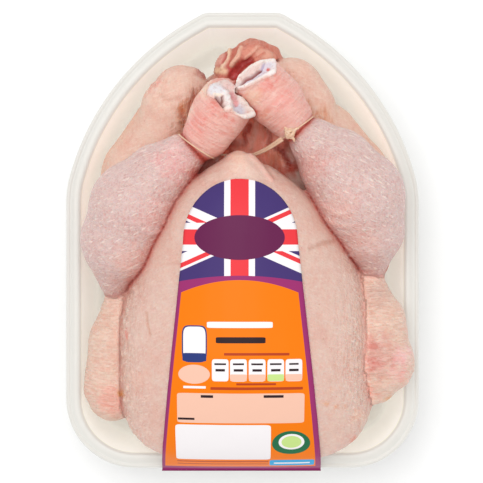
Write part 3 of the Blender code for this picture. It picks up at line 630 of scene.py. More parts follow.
def slope_of(measure, points, reach=0.4):
    """The gradient of a measure, by central differences."""
    slope = np.empty_like(points)
    for axis in range(3):
        nudge = np.zeros(3)
        nudge[axis] = reach
        slope[:, axis] = (measure(points + nudge) - measure(points - nudge)) / (2.0 * reach)
    return slope


def breast(points):
    """Distance to the lofted breast."""
    slope = np.linalg.norm(slope_of(breast_measure, points), axis=1)
    return breast_measure(points) / np.clip(slope, *SLOPE_LIMITS)


def torso(points):
    """Distance to the breast, back and rump, without the vent."""
    body = soft_union(breast(points), egg(points, *BACK), BODY_BLEND)
    body = soft_union(body, egg(points, *RUMP), BODY_BLEND)
    return soft_union(body, limb(points, KEEL_TIP), KEEL_BLEND)


def folds(points):
    """Distance to the folds inside the vent."""
    return np.minimum.reduce([limb(points, fold) for fold in VENT_FOLDS])


def hock(points, stump, cut):
    """The leg's end, cut through at the joint, with the two heads of the bone proud of the cut."""
    place, normal = np.array(cut[0], float), np.array(cut[1], float)
    normal /= np.linalg.norm(normal)
    across = np.cross(normal, (0, 0, 1))
    across /= np.linalg.norm(across)
    end = soft_cut(limb(points, stump), -plane(points, place, normal), CUT_BLEND)
    for side in (-1, 1):
        head = place + across * side * BONE_HEAD_SPREAD - normal * BONE_HEAD_SINK
        end = soft_union(end, np.linalg.norm(points - head, axis=1) - BONE_HEAD_RADIUS, CUT_BLEND)
    return end


def thigh(points, upper, hip):
    """Distance to a thigh and the hip that it joins."""
    return soft_union(limb(points, upper), limb(points, hip), BEAD_BLEND)


def tail(points):
    """Distance to the tail's stub with its ridges."""
    stub = limb(points, TAIL)
    for ridge in TAIL_RIDGES:
        stub = soft_union(stub, limb(points, ridge), FOLD_BLEND)
    return stub


def regions(points):
    """Distance to each part of the bird by name."""
    return {
        "torso": torso(points),
        "folds": folds(points),
        "left drumstick": limb(points, LEFT_DRUMSTICK),
        "right drumstick": limb(points, RIGHT_DRUMSTICK),
        "left stump": hock(points, LEFT_STUMP, LEFT_CUT),
        "right stump": hock(points, RIGHT_STUMP, RIGHT_CUT),
        "left thigh": thigh(points, LEFT_THIGH, LEFT_HIP),
        "right thigh": thigh(points, RIGHT_THIGH, RIGHT_HIP),
        "left wing": limb(points, LEFT_WING),
        "right wing": limb(points, RIGHT_WING),
        "tail": tail(points),
    }


def chicken(points):
    """Distance to the whole bird's skin."""
    part = regions(points)
    whole = soft_cut(part["torso"], limb(points, VENT), VENT_BLEND)
    whole = soft_union(whole, part["folds"], FOLD_BLEND)
    for side in ("left", "right"):
        upper = soft_union(part[side + " drumstick"], part[side + " stump"], CUT_BLEND)
        whole = soft_union(whole, soft_union(part[side + " thigh"], upper, THIGH_CREASE), CREASE)
    for side in ("left", "right"):
        whole = soft_union(whole, part[side + " wing"], CREASE)
    whole = soft_union(whole, part["tail"], TAIL_BLEND)
    return soft_cut(whole, points[:, 2] - SEAT_LEVEL, SEAT_BLEND)


def unpinched(values, filled):
    """The samples with every pinch filled, where the surface would otherwise meet itself at an edge or point.

    A pinch is a square of samples that are inside and outside in turn, or a cube with only two opposite
    corners inside, or only two outside.
    """
    values = values.copy()
    while True:
        inside = values < 0.0
        marks = np.zeros_like(inside)
        for axis in range(3):
            low, high = slice(None, -1), slice(1, None)
            corners = []
            for first, second in ((low, low), (high, low), (high, high), (low, high)):
                place = [first, second]
                place.insert(axis, slice(None))
                corners.append(tuple(place))
            a, b, c, d = (inside[corner] for corner in corners)
            pinch = (a == c) & (b == d) & (a != b)
            for corner in corners:
                marks[corner] |= pinch
        spots = [
            tuple(slice(1, None) if bit else slice(None, -1) for bit in (x, y, z))
            for x in (0, 1) for y in (0, 1) for z in (0, 1)
        ]
        total = sum(inside[spot].astype(int) for spot in spots)
        for first, last in ((0, 7), (1, 6), (2, 5), (3, 4)):
            near, far = inside[spots[first]], inside[spots[last]]
            pinch = ((total == 2) & near & far) | ((total == 6) & ~near & ~far)
            for spot in spots:
                marks[spot] |= pinch
        marks &= ~inside
        if not marks.any():
            return values
        values[marks] = filled


def narrow_samples(field, axes, ratio=3):
    """Samples of a field on a grid, exact near its zero surface and from a coarser grid elsewhere."""
    coarse_axes = [axis[0] + np.arange(len(axis) // ratio + 2) * (axis[1] - axis[0]) * ratio for axis in axes]
    shape = tuple(len(axis) for axis in coarse_axes)
    lattice = np.stack(np.meshgrid(*coarse_axes, indexing="ij"), axis=-1).reshape(-1, 3)
    values = field(lattice).reshape(shape)
    for axis, fine in enumerate(axes):
        place = np.arange(len(fine)) / ratio
        lower = place.astype(int)
        share = (place - lower).reshape([-1 if a == axis else 1 for a in range(3)])
        values = np.take(values, lower, axis) * (1.0 - share) + np.take(values, lower + 1, axis) * share
    near = np.abs(values) < ratio * (axes[0][1] - axes[0][0])
    where = np.argwhere(near)
    points = np.stack([axis[where[:, a]] for a, axis in enumerate(axes)], axis=-1)
    values[near] = field(points)
    return values


def zero_surface(field, low, high, step):
    """Points and four-sided faces of the surface where the field is zero, from a grid of samples.

    Each grid cell that the surface crosses gets one point, the mean of where it crosses the cell's edges.
    """
    axes = [np.arange(a, b + step, step) for a, b in zip(low, high)]
    shape = tuple(len(axis) for axis in axes)
    values = unpinched(narrow_samples(field, axes), PINCH_FILL * step)
    inside = values < 0.0
    cells = tuple(n - 1 for n in shape)
    total, count = np.zeros(cells + (3,)), np.zeros(cells)
    crossings = []
    for axis in range(3):
        lower = tuple(slice(None, -1) if a == axis else slice(None) for a in range(3))
        upper = tuple(slice(1, None) if a == axis else slice(None) for a in range(3))
        crossed = inside[lower] != inside[upper]
        place = np.stack(np.indices(crossed.shape), axis=-1).astype(float)
        gap = np.where(crossed, values[lower] - values[upper], 1.0)
        place[..., axis] += np.where(crossed, values[lower] / gap, 0.0)
        sides = [a for a in range(3) if a != axis]
        for corner in ((0, 0), (0, 1), (1, 0), (1, 1)):
            edge = [slice(None)] * 3
            for side, late in zip(sides, corner):
                edge[side] = slice(1, None) if late else slice(None, -1)
            hit = crossed[tuple(edge)]
            total += np.where(hit[..., None], place[tuple(edge)], 0.0)
            count += hit
        crossings.append(np.argwhere(crossed))
    used = count > 0
    number = np.full(cells, -1)
    number[used] = np.arange(used.sum())
    points = np.array(low) + step * total[used] / count[used][:, None]
    faces = []
    for axis, edges in enumerate(crossings):
        after, last = (axis + 1) % 3, (axis + 2) % 3
        corners = []
        for shift_after, shift_last in ((1, 1), (0, 1), (0, 0), (1, 0)):
            cell = edges.copy()
            cell[:, after] -= shift_after
            cell[:, last] -= shift_last
            corners.append(number[tuple(cell.T)])
        quads = np.stack(corners, axis=1)
        outward = inside[tuple(edges.T)]
        faces.append(np.where(outward[:, None], quads, quads[:, ::-1]))
    return points, np.concatenate(faces)


def placed(points):
    """Millimetres about the tray's middle as metres in the frame."""
    return (np.asarray(points, float) + (0.0, TRAY_MIDDLE_Y, 0.0)) * MM


def mesh_piece(name, points, faces, look, node):
    """A smooth piece from points in millimetres, which rides with the model and stands for a node."""
    mesh = bpy.data.meshes.new(name)
    mesh.from_pydata(placed(points).tolist(), [], [list(map(int, face)) for face in faces])
    mesh.update()
    mesh.shade_smooth()
    mesh.materials.append(look)
    piece = bpy.data.objects.new(name, mesh)
    bpy.context.scene.collection.objects.link(piece)
    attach(piece, "root")
    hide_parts(node)
    return piece


def raise_skin(piece, points, relief):
    """Moves each vertex of a piece along its normal by its own height in millimetres."""
    moved = placed(points + vertex_normals(piece) * relief[:, None])
    piece.data.vertices.foreach_set("co", moved.astype(np.float32).ravel())
    piece.data.update()


def write_attribute(piece, name, kind, values):
    """Stores one value for each vertex of a piece under a name."""
    attribute = piece.data.attributes.new(name, kind, "POINT")
    field = {"FLOAT_COLOR": "color", "FLOAT_VECTOR": "vector", "FLOAT": "value"}[kind]
    attribute.data.foreach_set(field, np.asarray(values, np.float32).ravel())


def vertex_normals(piece):
    """The unit normal at each vertex of a piece."""
    normals = np.zeros(len(piece.data.vertices) * 3, np.float32)
    piece.data.vertex_normals.foreach_get("vector", normals)
    return normals.reshape(-1, 3).astype(float)


def add(tree, kind, inputs=None, **settings):
    """Adds one shader node and returns its outputs. An input is a value, or an output to link."""
    made = tree.nodes.new("ShaderNode" + kind)
    for name, value in settings.items():
        setattr(made, name, value)
    for place, value in (inputs or {}).items():
        if isinstance(value, bpy.types.NodeSocket):
            tree.links.new(value, made.inputs[place])
        else:
            made.inputs[place].default_value = value
    return made.outputs


def new_material(name):
    """A material with an empty node tree but for its output, and the tree."""
    look = bpy.data.materials.new(name)
    look.use_nodes = True
    tree = look.node_tree
    for old in list(tree.nodes):
        if old.type != "OUTPUT_MATERIAL":
            tree.nodes.remove(old)
    return look, tree


def millimetres(tree):
    """Where each point of the surface lies, in millimetres."""
    place = add(tree, "TexCoord")["Object"]
    return add(tree, "VectorMath", {0: place, 1: (1 / MM,) * 3}, operation="MULTIPLY")[0]


def finished(look, tree, shader):
    """Links the shader to the material's output."""
    tree.links.new(shader, tree.nodes["Material Output"].inputs["Surface"])
    return look


def wet_tissue(name, roughness, specular):
    """Cut tissue, bare and wet: its colour comes from the mesh, with fine fibres in the bump."""
    look, tree = new_material(name)
    place = millimetres(tree)
    tone = add(tree, "Attribute", attribute_name="tone")["Color"]
    fibre = add(tree, "TexNoise", {"Vector": place, "Scale": 1 / 1.6, "Detail": 3.0, "Roughness": 0.6})["Fac"]
    share = add(tree, "MapRange", {"Value": fibre, "From Min": 0.5, "From Max": 0.72})[0]
    colour = add(tree, "Mix", {0: share, 6: tone, 7: (0.84, 0.70, 0.68, 1.0)}, **TINT)[2]
    bump = add(tree, "Bump", {"Height": fibre, "Strength": 0.7, "Distance": 0.35 * MM})[0]
    shader = add(tree, "BsdfPrincipled", {
        "Base Color": colour, "Roughness": roughness, "Normal": bump, "Specular IOR Level": specular,
        "Subsurface Weight": 0.2, "Subsurface Radius": (1.0, 0.5, 0.4), "Subsurface Scale": 0.0025,
    })[0]
    return finished(look, tree, shader)


def poultry_skin(settings):
    """Raw poultry skin: thin, damp and translucent, with the flesh's pink and a pimple at each follicle.

    The base tone comes from the mesh. Hollows between the pimples are pinker and their tops paler, partly as
    a painted highlight.
    """
    look, tree = new_material("raw poultry skin")
    tone = add(tree, "Attribute", attribute_name="tone")["Color"]
    marks = add(tree, "Attribute", attribute_name="marks")["Color"]
    crease_shade, pimples, wrinkles = add(tree, "SeparateColor", {0: marks})[:3]
    grain = add(tree, "Attribute", attribute_name="grain")["Vector"]
    place = millimetres(tree)

    # The pale ridges, partly a painted highlight, run down and outwards over the legs and the breast, on
    # either side of the middle
    spot = add(tree, "SeparateXYZ", {0: place})
    out = add(tree, "Math", {0: spot[0]}, operation="ABSOLUTE")[0]
    laid = add(tree, "CombineXYZ", {0: out, 1: spot[1], 2: spot[2]})[0]
    along, aside = (
        add(tree, "VectorMath", {0: laid, 1: (*way, 0.0)}, operation="DOT_PRODUCT")["Value"]
        for way in (RIDGE_TURN, (-RIDGE_TURN[1], RIDGE_TURN[0]))
    )
    turned = add(tree, "CombineXYZ", {0: along, 1: aside, 2: spot[2]})[0]

    # Ridges 6 mm long, a net 2.6 mm wide that is longer along the limb, and wrinkles that run across it
    ridged, woven, wrinkled = (
        add(tree, "VectorMath", {0: where, 1: tuple(1 / size for size in sizes)}, operation="MULTIPLY")[0]
        for where, sizes in ((turned, (6.0, 1.1, 2.5)), (grain, (2.6, 1.7, 1.7)), (grain, (1.35, 6.5, 6.5)))
    )

    # Blotches 20 mm across where the flesh shows through more or less, mottling 5 mm, stains and pores
    blotch, mottle, dust, pores, streaks, fine = (
        add(tree, "TexNoise", {
            "Vector": where, "Scale": 1 / size, "Detail": detail, "Roughness": uneven, "Distortion": bend,
        })["Fac"]
        for where, size, detail, uneven, bend in (
            (place, 20.0, 3.0, 0.5, 0.0), (place, 5.0, 3.0, 0.6, 0.0), (place, 1.3, 3.0, 0.7, 0.0),
            (place, 0.7, 2.0, 0.5, 0.0), (ridged, 1.0, 1.0, 0.5, 0.6), (wrinkled, 1.0, 2.0, 0.5, 0.5),
        )
    )

    # One pimple for each follicle, drawn out of line by a little noise
    wander = add(tree, "TexNoise", {"Vector": place, "Scale": 1 / 6, "Detail": 1.0})["Color"]
    wandered = add(tree, "VectorMath", {0: wander, 1: (2.5,) * 3, 2: place}, operation="MULTIPLY_ADD")[0]
    cells = add(tree, "TexVoronoi", {
        "Vector": wandered, "Scale": 1 / settings.follicle_spacing, "Smoothness": 0.35, "Randomness": 0.75,
    }, feature="SMOOTH_F1")["Distance"]
    net = add(tree, "TexVoronoi", {
        "Vector": woven, "Scale": 1.0, "Randomness": 0.9,
    }, feature="DISTANCE_TO_EDGE")[0]
    specks = add(tree, "TexVoronoi", {"Vector": place, "Scale": 1 / 6.0, "Randomness": 1.0})["Distance"]

    # Each row: a pattern, its values where the mark starts and where it is full, and how strong it then is
    top, pit, net_share, streak, wrinkle, groove = (
        add(tree, "MapRange", {
            "Value": value, "From Min": start, "From Max": full, "To Max": most,
        }, interpolation_type="SMOOTHSTEP")[0]
        for value, start, full, most in (
            (cells, 0.60, 0.22, 1.0), (cells, 0.22, 0.08, 0.12), (net, 0.26, 0.02, 1.0),
            (streaks, 0.56, 0.68, 1.0), (fine, 0.42, 0.62, 1.0), (fine, 0.47, 0.36, 0.42),
        )
    )
    sunk, blushed, dusty, fleck = (
        add(tree, "MapRange", {"Value": value, "From Min": start, "From Max": full, "To Max": most})[0]
        for value, start, full, most in (
            (mottle, 0.42, 0.66, 0.6), (blotch, 0.45, 0.75, 1.0), (dust, 0.45, 0.75, 0.4),
            (specks, 0.075, 0.04, 0.5),
        )
    )
    pimpled, netted, ridge, speck, wrinkly, grooved = (
        add(tree, "Math", {0: share, 1: amount}, operation="MULTIPLY")[0]
        for share, amount in (
            (top, pimples), (net_share, pimples), (streak, pimples), (pit, pimples),
            (wrinkle, wrinkles), (groove, wrinkles),
        )
    )
    raised = add(tree, "Math", {0: pimpled, 1: wrinkly}, operation="MAXIMUM")[0]
    lit = add(tree, "Math", {0: netted, 1: 0.75}, operation="MULTIPLY")[0]

    # Hollows are pinker, what stands up is paler, partly as a painted highlight, then come grooves, stains,
    # pits and the painted shade of the creases
    hollow = add(tree, "Mix", {0: 1.0, 6: tone, 7: (0.955, 0.80, 0.78, 1.0)}, **TINT)[2]
    dotted = add(tree, "Mix", {0: 1.0, 6: tone, 7: (0.80, 0.58, 0.54, 1.0)}, **TINT)[2]
    # Pale tops of pimples, the net and the ridges: partly the skin's own paler colour and partly painted
    # highlight
    pale = add(tree, "Mix", {0: 0.20, 6: tone, 7: (*linear("#fff3e6"), 1.0)}, **COVER)[2]
    ridge_pale_and_highlight = add(tree, "Mix", {0: 0.5, 6: tone, 7: (*linear("#fff0e4"), 1.0)}, **COVER)[2]
    body = tone
    for share, over in ((sunk, hollow), (blushed, hollow), (raised, pale), (lit, pale), (ridge, ridge_pale_and_highlight)):
        body = add(tree, "Mix", {0: share, 6: body, 7: over}, **COVER)[2]
    red = add(tree, "Mix", {0: 1.0, 6: body, 7: (0.86, 0.60, 0.54, 1.0)}, **TINT)[2]
    for share in (grooved, dusty):
        body = add(tree, "Mix", {0: share, 6: body, 7: red}, **COVER)[2]
    body = add(tree, "Mix", {0: fleck, 6: body, 7: (0.62, 0.40, 0.25, 1.0)}, **TINT)[2]
    body = add(tree, "Mix", {0: speck, 6: body, 7: dotted}, **COVER)[2]
    # Painted shade: where two parts meet the colour is darkened to a deep red, partly the redder skin in the
    # creases
    colour = add(tree, "Mix", {0: crease_shade, 6: body, 7: (0.66, 0.15, 0.11, 1.0)}, **TINT)[2]

    height = 0.0
    for share, tall in ((pores, 0.10), (pimpled, 0.30), (wrinkly, 0.5), (netted, 0.20), (ridge, 0.30)):
        height = add(tree, "Math", {0: share, 1: tall, 2: height}, operation="MULTIPLY_ADD")[0]
    bump = add(tree, "Bump", {"Height": height, "Strength": 0.8, "Distance": MM})[0]
    rough = add(tree, "MapRange", {"Value": mottle, "To Min": 0.36, "To Max": 0.56})[0]
    shader = add(tree, "BsdfPrincipled", {
        "Base Color": colour, "Roughness": rough, "Normal": bump,
        "Subsurface Weight": 0.22, "Subsurface Radius": (1.0, 0.34, 0.22), "Subsurface Scale": 0.004,
        "Specular IOR Level": 0.42, "Coat Weight": 0.10, "Coat Roughness": 0.22,
    })[0]
    return finished(look, tree, shader)


def axes_of(beads):
    """The direction of a limb, and two directions across it, the second as near up as can be."""
    along = np.subtract(beads[-1][:3], beads[0][:3]).astype(float)
    along /= np.linalg.norm(along)
    aside = np.cross(along, (0, 0, 1))
    aside /= np.linalg.norm(aside)
    return along, aside, np.cross(aside, along)


def noise_at(points, scales, seed):
    """Smooth noise from -1 to 1 at each point, with its grain size in millimetres along each axis."""
    scaled = np.asarray(points) / np.asarray(scales, float) + seed
    return np.array([noise.noise(Vector(place)) for place in scaled])


def scales_at(points, widths, seed):
    """Small rounded scales from 0 at their edges to 1 on top, with the width of a scale along each axis."""
    heights = []
    for place in points / widths + seed:
        near = noise.voronoi(Vector(place))[0]
        heights.append(min(1.0, 1.4 * (near[1] - near[0])))
    return np.array(heights)


def rounded_outline(outline):
    """The outline with its corners smoothed."""
    return [tuple(place) for place in smooth_route([*outline, outline[0]], 5)[:-1]]


def outline_distance(places, outline):
    """Distance inside an outline seen from above, negative outside."""
    nearest = np.full(len(places), 1e9)
    inside = np.zeros(len(places), bool)
    for start, end in zip(outline, outline[1:] + outline[:1]):
        start, end = np.array(start, float), np.array(end, float)
        nearest = np.minimum(nearest, stroke_distance(places, (start, end)))
        crossing = (start[1] > places[:, 1]) != (end[1] > places[:, 1])
        drop = end[1] - start[1] if end[1] != start[1] else 1e-9
        share = (places[:, 1] - start[1]) / drop
        inside ^= crossing & (places[:, 0] < start[0] + (end[0] - start[0]) * share)
    return np.where(inside, nearest, -nearest)


def stroke_distance(places, route):
    """Distance from a line through the route's points, seen from above."""
    nearest = np.full(len(places), 1e9)
    for start, end in zip(route, route[1:]):
        start, run = np.array(start, float), np.subtract(end, start).astype(float)
        share = np.clip((places - start) @ run / max(run @ run, 1e-9), 0.0, 1.0)
        nearest = np.minimum(nearest, np.linalg.norm(places - start - share[:, None] * run, axis=1))
    return nearest


def eased(values):
    """Values from 0 to 1 with a gentle start and end."""
    values = np.clip(values, 0.0, 1.0)
    return values * values * (3.0 - 2.0 * values)


def part_shares(part):
    """How much of the skin at each point belongs to each part, and to each pair of parts."""
    share = np.exp(-np.maximum(np.stack(list(part.values())), 0.0) / BORDER_SOFTNESS)
    weight = dict(zip(part, share / share.sum(axis=0)))
    for kind in PAIRED_PARTS:
        weight[kind] = weight["left " + kind] + weight["right " + kind]
    return weight


def painted(tone, colour, cover):
    """The tone with a colour laid over it, as much as the cover says at each point."""
    return tone + (np.array(colour) - tone) * cover[:, None]


def lapsed(away, reach):
    """A share that is 1 up to a surface and falls off beyond it, over the reach in millimetres."""
    return np.exp(-np.maximum(away, 0.0) / reach)


def limb_grain(points, weight):
    """Each point measured along and across its own limb, and round the joint's end on a stump."""
    grain = points.copy()
    for side, drumstick, stump, wing in (
        ("left", LEFT_DRUMSTICK, LEFT_STUMP, LEFT_WING), ("right", RIGHT_DRUMSTICK, RIGHT_STUMP, RIGHT_WING),
    ):
        for name, beads in (("drumstick", drumstick), ("wing", wing)):
            own = weight[f"{side} {name}"] > 0.5
            grain[own] = points[own] @ np.stack(axes_of(beads), axis=1)
        own = weight[side + " stump"] > 0.5
        from_end = points[own] - np.array(stump[-1][:3], float)
        turn = np.arctan2(from_end[:, 0], -from_end[:, 1]) * stump[2][3]
        grain[own] = np.column_stack([np.linalg.norm(from_end, axis=1), turn, from_end[:, 2] / 4.0])
    grain[:, 2] += LEFT_WING_GRAIN * weight["left wing"]
    return grain


def bird_maps(points, part):
    """Tone, marks, grain directions and relief of the skin at each point, from its distance to each part."""
    settings = bpy.context.scene.chicken_bird
    weight = part_shares(part)
    second = np.sort(np.stack(list(part.values())), axis=0)[1]
    vent = np.clip(1.0 - np.maximum(limb(points, VENT), 0.0) / VENT_EDGE, 0.0, 1.0) * weight["torso"]
    keel = np.clip(1.0 - np.linalg.norm((points - KEEL_SKIN[0]) / KEEL_SKIN[1], axis=1), 0.0, 1.0)
    colours = {"torso": settings.breast, "folds": settings.vent, "tail": settings.flesh}
    colours.update({kind: getattr(settings, kind) for kind in PAIRED_PARTS})
    tone = sum(weight[kind][:, None] * np.array(colour) for kind, colour in colours.items())
    tone = painted(tone, settings.keel, keel * weight["torso"])
    tone = painted(tone, settings.vent, vent)

    # Blushes, stains and the painted shade of the crevices have ragged edges
    # Low places, where the dark reds of the crevices, partly painted shade, are laid on
    weight["deep"] = eased((LOW_SHADE_LEVELS[0] - points[:, 2]) / (LOW_SHADE_LEVELS[0] - LOW_SHADE_LEVELS[1]))
    ragged = 1.0 + 0.45 * noise_at(points, (4.0,) * 3, seed=51.7)
    ragged += 0.25 * noise_at(points, (1.8,) * 3, seed=8.2)
    rough = np.zeros(len(points))
    for name, place, radius, text, strength in BLUSHES:
        near = np.linalg.norm(points[:, :2] - place, axis=1) / radius
        cover = strength * eased(1.25 * ragged - near) * weight[name]
        tone = painted(tone, linear(text), cover)
        rough = np.maximum(rough, cover)

    # Scales beside the wings, on the hip and where the thighs are stained
    wings_away = np.minimum(part["left wing"], part["right wing"])
    edge = np.clip(1.4 - wings_away / WING_SCALES_REACH, 0.0, 1.0) * weight["torso"]
    bumpy = lapsed(stroke_distance(points[:, :2], HIP_BUMPS), HIP_SCALES_REACH) * weight["left thigh"]
    scaly = edge * np.where(points[:, 0] < 0.0, 1.0, 0.35) + 1.2 * rough * weight["thigh"] + bumpy
    scaly = np.clip(scaly, 0.0, 1.0)
    scaled = scaly > LEAST_SCALE
    scales = np.ones(len(points))
    scales[scaled] = scales_at(points[scaled], SCALE_WIDTHS, seed=31.7)
    tone *= 1.0 - (scaly * (1.0 - scales))[:, None] * SCALE_EDGE_LOSS
    tone *= 1.0 + (scaly * scales)[:, None] * SCALE_TOP_GAIN
    lines = SCALE_HEIGHT * scaly * (scales - 0.5)
    for name, route, half_width, height, text, strength in SKIN_LINES:
        near = stroke_distance(points[:, :2], route) / half_width
        cover = eased(1.5 - near) * eased(2.0 * weight[name])
        tone = painted(tone, linear(text), strength * cover)
        lines += height * cover

    # Painted shade, darker and redder, on the legs near the body and on the body beside the legs, partly
    # their redder skin; and a raised foot where the wings lie on the breast, with painted light over the
    # creases there
    inner = lapsed(part["torso"], INNER_LEG_REACH) * weight["drumstick"]
    tone *= 1.0 - (inner * np.clip(ragged, 0.5, 1.5))[:, None] * INNER_LEG_SHADE
    beside = lapsed(np.minimum(part["left drumstick"], part["right drumstick"]), BESIDE_LEG_REACH)
    tone *= 1.0 - (beside * weight["torso"])[:, None] * BESIDE_LEG_SHADE
    flesh = weight["tail"] + weight["folds"] + vent
    wing_foot = lapsed(wings_away, WING_FOOT_REACH)
    meeting = lapsed(second, CREASE_REACH)
    # Painted shade where two parts meet, for the shader to darken to a deep red, partly the redder skin of
    # the creases; none on bare flesh or where the wings lie on the breast
    crease_shade = np.minimum(1.0, 2.2 * meeting) * (1.0 - np.clip(flesh, 0.0, 1.0)) * (1.0 - wing_foot)
    # Painted light: the creases where the wings lie on the breast are made paler, against their shade
    tone *= 1.0 + (meeting * wing_foot)[:, None] * WING_CREASE_LIGHT

    pimples = 0.9 * weight["drumstick"] + 0.22 * weight["torso"] + 0.7 * edge
    pimples += 0.3 * (weight["stump"] + weight["wing"] + weight["thigh"])
    wrinkles = 0.12 * weight["drumstick"] + 0.08 * weight["torso"] + 0.55 * inner + 0.6 * edge + 0.3 * flesh
    wrinkles += 0.65 * weight["wing"] + 0.6 * weight["stump"] + (0.15 + 0.9 * rough) * weight["thigh"]
    marks = np.stack([crease_shade, pimples, wrinkles, np.ones(len(points))], axis=1)

    # Relief: broad and close folds across each limb, lumps, the lines above, and a tuck under each finer skin
    grain = limb_grain(points, weight)
    broad = noise_at(grain, (9.0, 26.0, 26.0), seed=3.1)
    close = noise_at(grain, (5.0, 17.0, 17.0), seed=9.7)
    folded = 0.9 * weight["wing"] + 0.5 * weight["stump"] + 0.25 * weight["drumstick"] + 0.12
    relief = 0.25 * noise_at(points, (7.0,) * 3, seed=21.3) + folded * (0.35 * broad + 0.45 * close)
    relief += 0.8 * flesh * noise_at(points, (3.4, 3.4, 6.0), seed=5.5)
    relief = relief * np.clip(second / 4.0, 0.0, 1.0) + lines + WING_FOOT_HEIGHT * meeting * wing_foot
    for name, patch in (("left stump", LEFT_JOINT), ("right stump", RIGHT_JOINT), ("tail", TAIL_FLESH)):
        deep = outline_distance(points[:, :2], rounded_outline(patch[0]))
        tucked = eased((deep - 0.3) / 1.5) * eased(2.0 * weight[name])
        relief += (-PATCH_TUCK - relief) * tucked
    return np.column_stack([tone, np.ones(len(points))]), marks, grain, relief


class CHICKEN_OT_bird(bpy.types.Operator):
    """Makes the bird's skin and flesh"""

    bl_idname = "chicken.make_bird"
    bl_label = "Bird"

    def execute(self, context):
        settings = context.scene.chicken_bird
        step = settings.step
        points, faces = zero_surface(chicken, *SKIN_BOX, step)
        part = regions(points)
        tone, marks, grain, relief = bird_maps(points, part)
        piece = mesh_piece("bird_skin", points, faces, poultry_skin(settings), "chicken")
        raise_skin(piece, points, relief)
        write_attribute(piece, "tone", "FLOAT_COLOR", tone)
        write_attribute(piece, "marks", "FLOAT_COLOR", marks)
        write_attribute(piece, "grain", "FLOAT_VECTOR", grain)
        return {"FINISHED"}


def skin_tree():
    """The bird's skin for ray casts, in millimetres about the tray's middle."""
    mesh = bpy.data.objects["bird_skin"].data
    flat = np.zeros(len(mesh.vertices) * 3, np.float32)
    mesh.vertices.foreach_get("co", flat)
    points = flat.reshape(-1, 3).astype(float) / MM - (0.0, TRAY_MIDDLE_Y, 0.0)
    return BVHTree.FromPolygons(points.tolist(), [tuple(face.vertices) for face in mesh.polygons])


def draped(xs, ys, top, part_name):
    """Points of a grid let down on the bird from above, and how far each lies from the named part."""
    across, up = np.meshgrid(xs, ys, indexing="ij")
    points = np.column_stack([across.ravel(), up.ravel(), np.full(across.size, float(top))])
    for _ in range(DRAPE_STEPS):
        points[:, 2] -= DRAPE_PACE * np.clip(chicken(points), -1.0, 8.0)
    return points, regions(points)[part_name]


def tissue_patch(name, part_name, patch, top, look):
    """A finer skin over one part, raised inside its outline and tucked under the bird's skin outside it."""
    corners, ground, edge, strokes = patch
    outline = rounded_outline(corners)
    low, high = np.min(outline, axis=0) - PATCH_MARGIN, np.max(outline, axis=0) + PATCH_MARGIN
    step = PATCH_STEP
    xs, ys = [np.arange(a, b + step, step) for a, b in zip(low, high)]
    points, away = draped(xs, ys, top, part_name)
    deep = outline_distance(points[:, :2], outline) + 0.35 * noise_at(points, (3.0,) * 3, seed=4.4)
    lift = -PATCH_DROP + (PATCH_LIFT + PATCH_DROP) * eased((deep + 0.9) / 1.6)
    stray = 0.5 * noise_at(points, (2.4,) * 3, seed=14.3) + 0.3 * noise_at(points, (1.1,) * 3, seed=33.1)
    tone = np.array(linear(ground)) * (1.0 + 0.14 * stray)[:, None]
    lift += 0.25 * stray * (deep > 0.0)
    # Sunk strokes carry darker colours and raised ones paler, partly painted shade and highlight
    for text, half_width, height, route in strokes:
        near = stroke_distance(points[:, :2], route) / half_width
        cover = eased(1.35 - near + 0.35 * stray)
        tone = painted(tone, linear(text), cover)
        lift += height * cover * (deep > 0.0)
    skin = np.array(linear(edge)) * (1.0 + 0.2 * stray)[:, None]
    tone = painted(tone, skin, 1.0 - eased((deep + 0.2) / 1.1))
    number = np.arange(len(points)).reshape(len(xs), len(ys))
    squares = [number[:-1, :-1], number[1:, :-1], number[1:, 1:], number[:-1, 1:]]
    faces = np.stack([corner.ravel() for corner in squares], axis=1)
    good = (deep > -PATCH_MARGIN) & (away < PATCH_REACH)
    faces = faces[good[faces].all(axis=1)]
    used, flat = np.unique(faces, return_inverse=True)
    points, tone, lift = points[used], tone[used], lift[used]
    piece = mesh_piece(name, points, flat.reshape(-1, 4), look, "chicken")
    raise_skin(piece, points, lift)
    tone = np.clip(tone, 0.0, 1.0)
    write_attribute(piece, "tone", "FLOAT_COLOR", np.column_stack([tone, np.ones(len(tone))]))


class CHICKEN_OT_cuts(bpy.types.Operator):
    """Makes the cut joints and the bare flesh of the tail"""

    bl_idname = "chicken.make_cuts"
    bl_label = "Cuts"

    def execute(self, context):
        joint = wet_tissue("wet cut cartilage", 0.34, 0.5)
        tissue_patch("left_joint_end", "left stump", LEFT_JOINT, JOINT_TOP, joint)
        tissue_patch("right_joint_end", "right stump", RIGHT_JOINT, JOINT_TOP, joint)
        tissue_patch("tail_flesh", "tail", TAIL_FLESH, TAIL_TOP, wet_tissue("raw red flesh", 0.42, 0.45))
        return {"FINISHED"}


def rounded_corner(before, corner, after, radius, steps):
    """Points of the arc that rounds a corner, from one side to the other."""
    corner = Vector(corner)
    towards, away = (Vector(before) - corner).normalized(), (Vector(after) - corner).normalized()
    half = towards.angle(away) / 2.0
    run = radius / math.tan(half)
    middle = corner + (towards + away).normalized() * (radius / math.sin(half))
    first, last = corner + towards * run - middle, corner + away * run - middle
    turn = first.angle_signed(last)
    arc = []
    for step in range(steps + 1):
        angle = turn * step / steps
        spoke = Vector((
            first.x * math.cos(angle) + first.y * math.sin(angle),
            first.y * math.cos(angle) - first.x * math.sin(angle),
        ))
        arc.append(tuple(middle + spoke))
    return arc


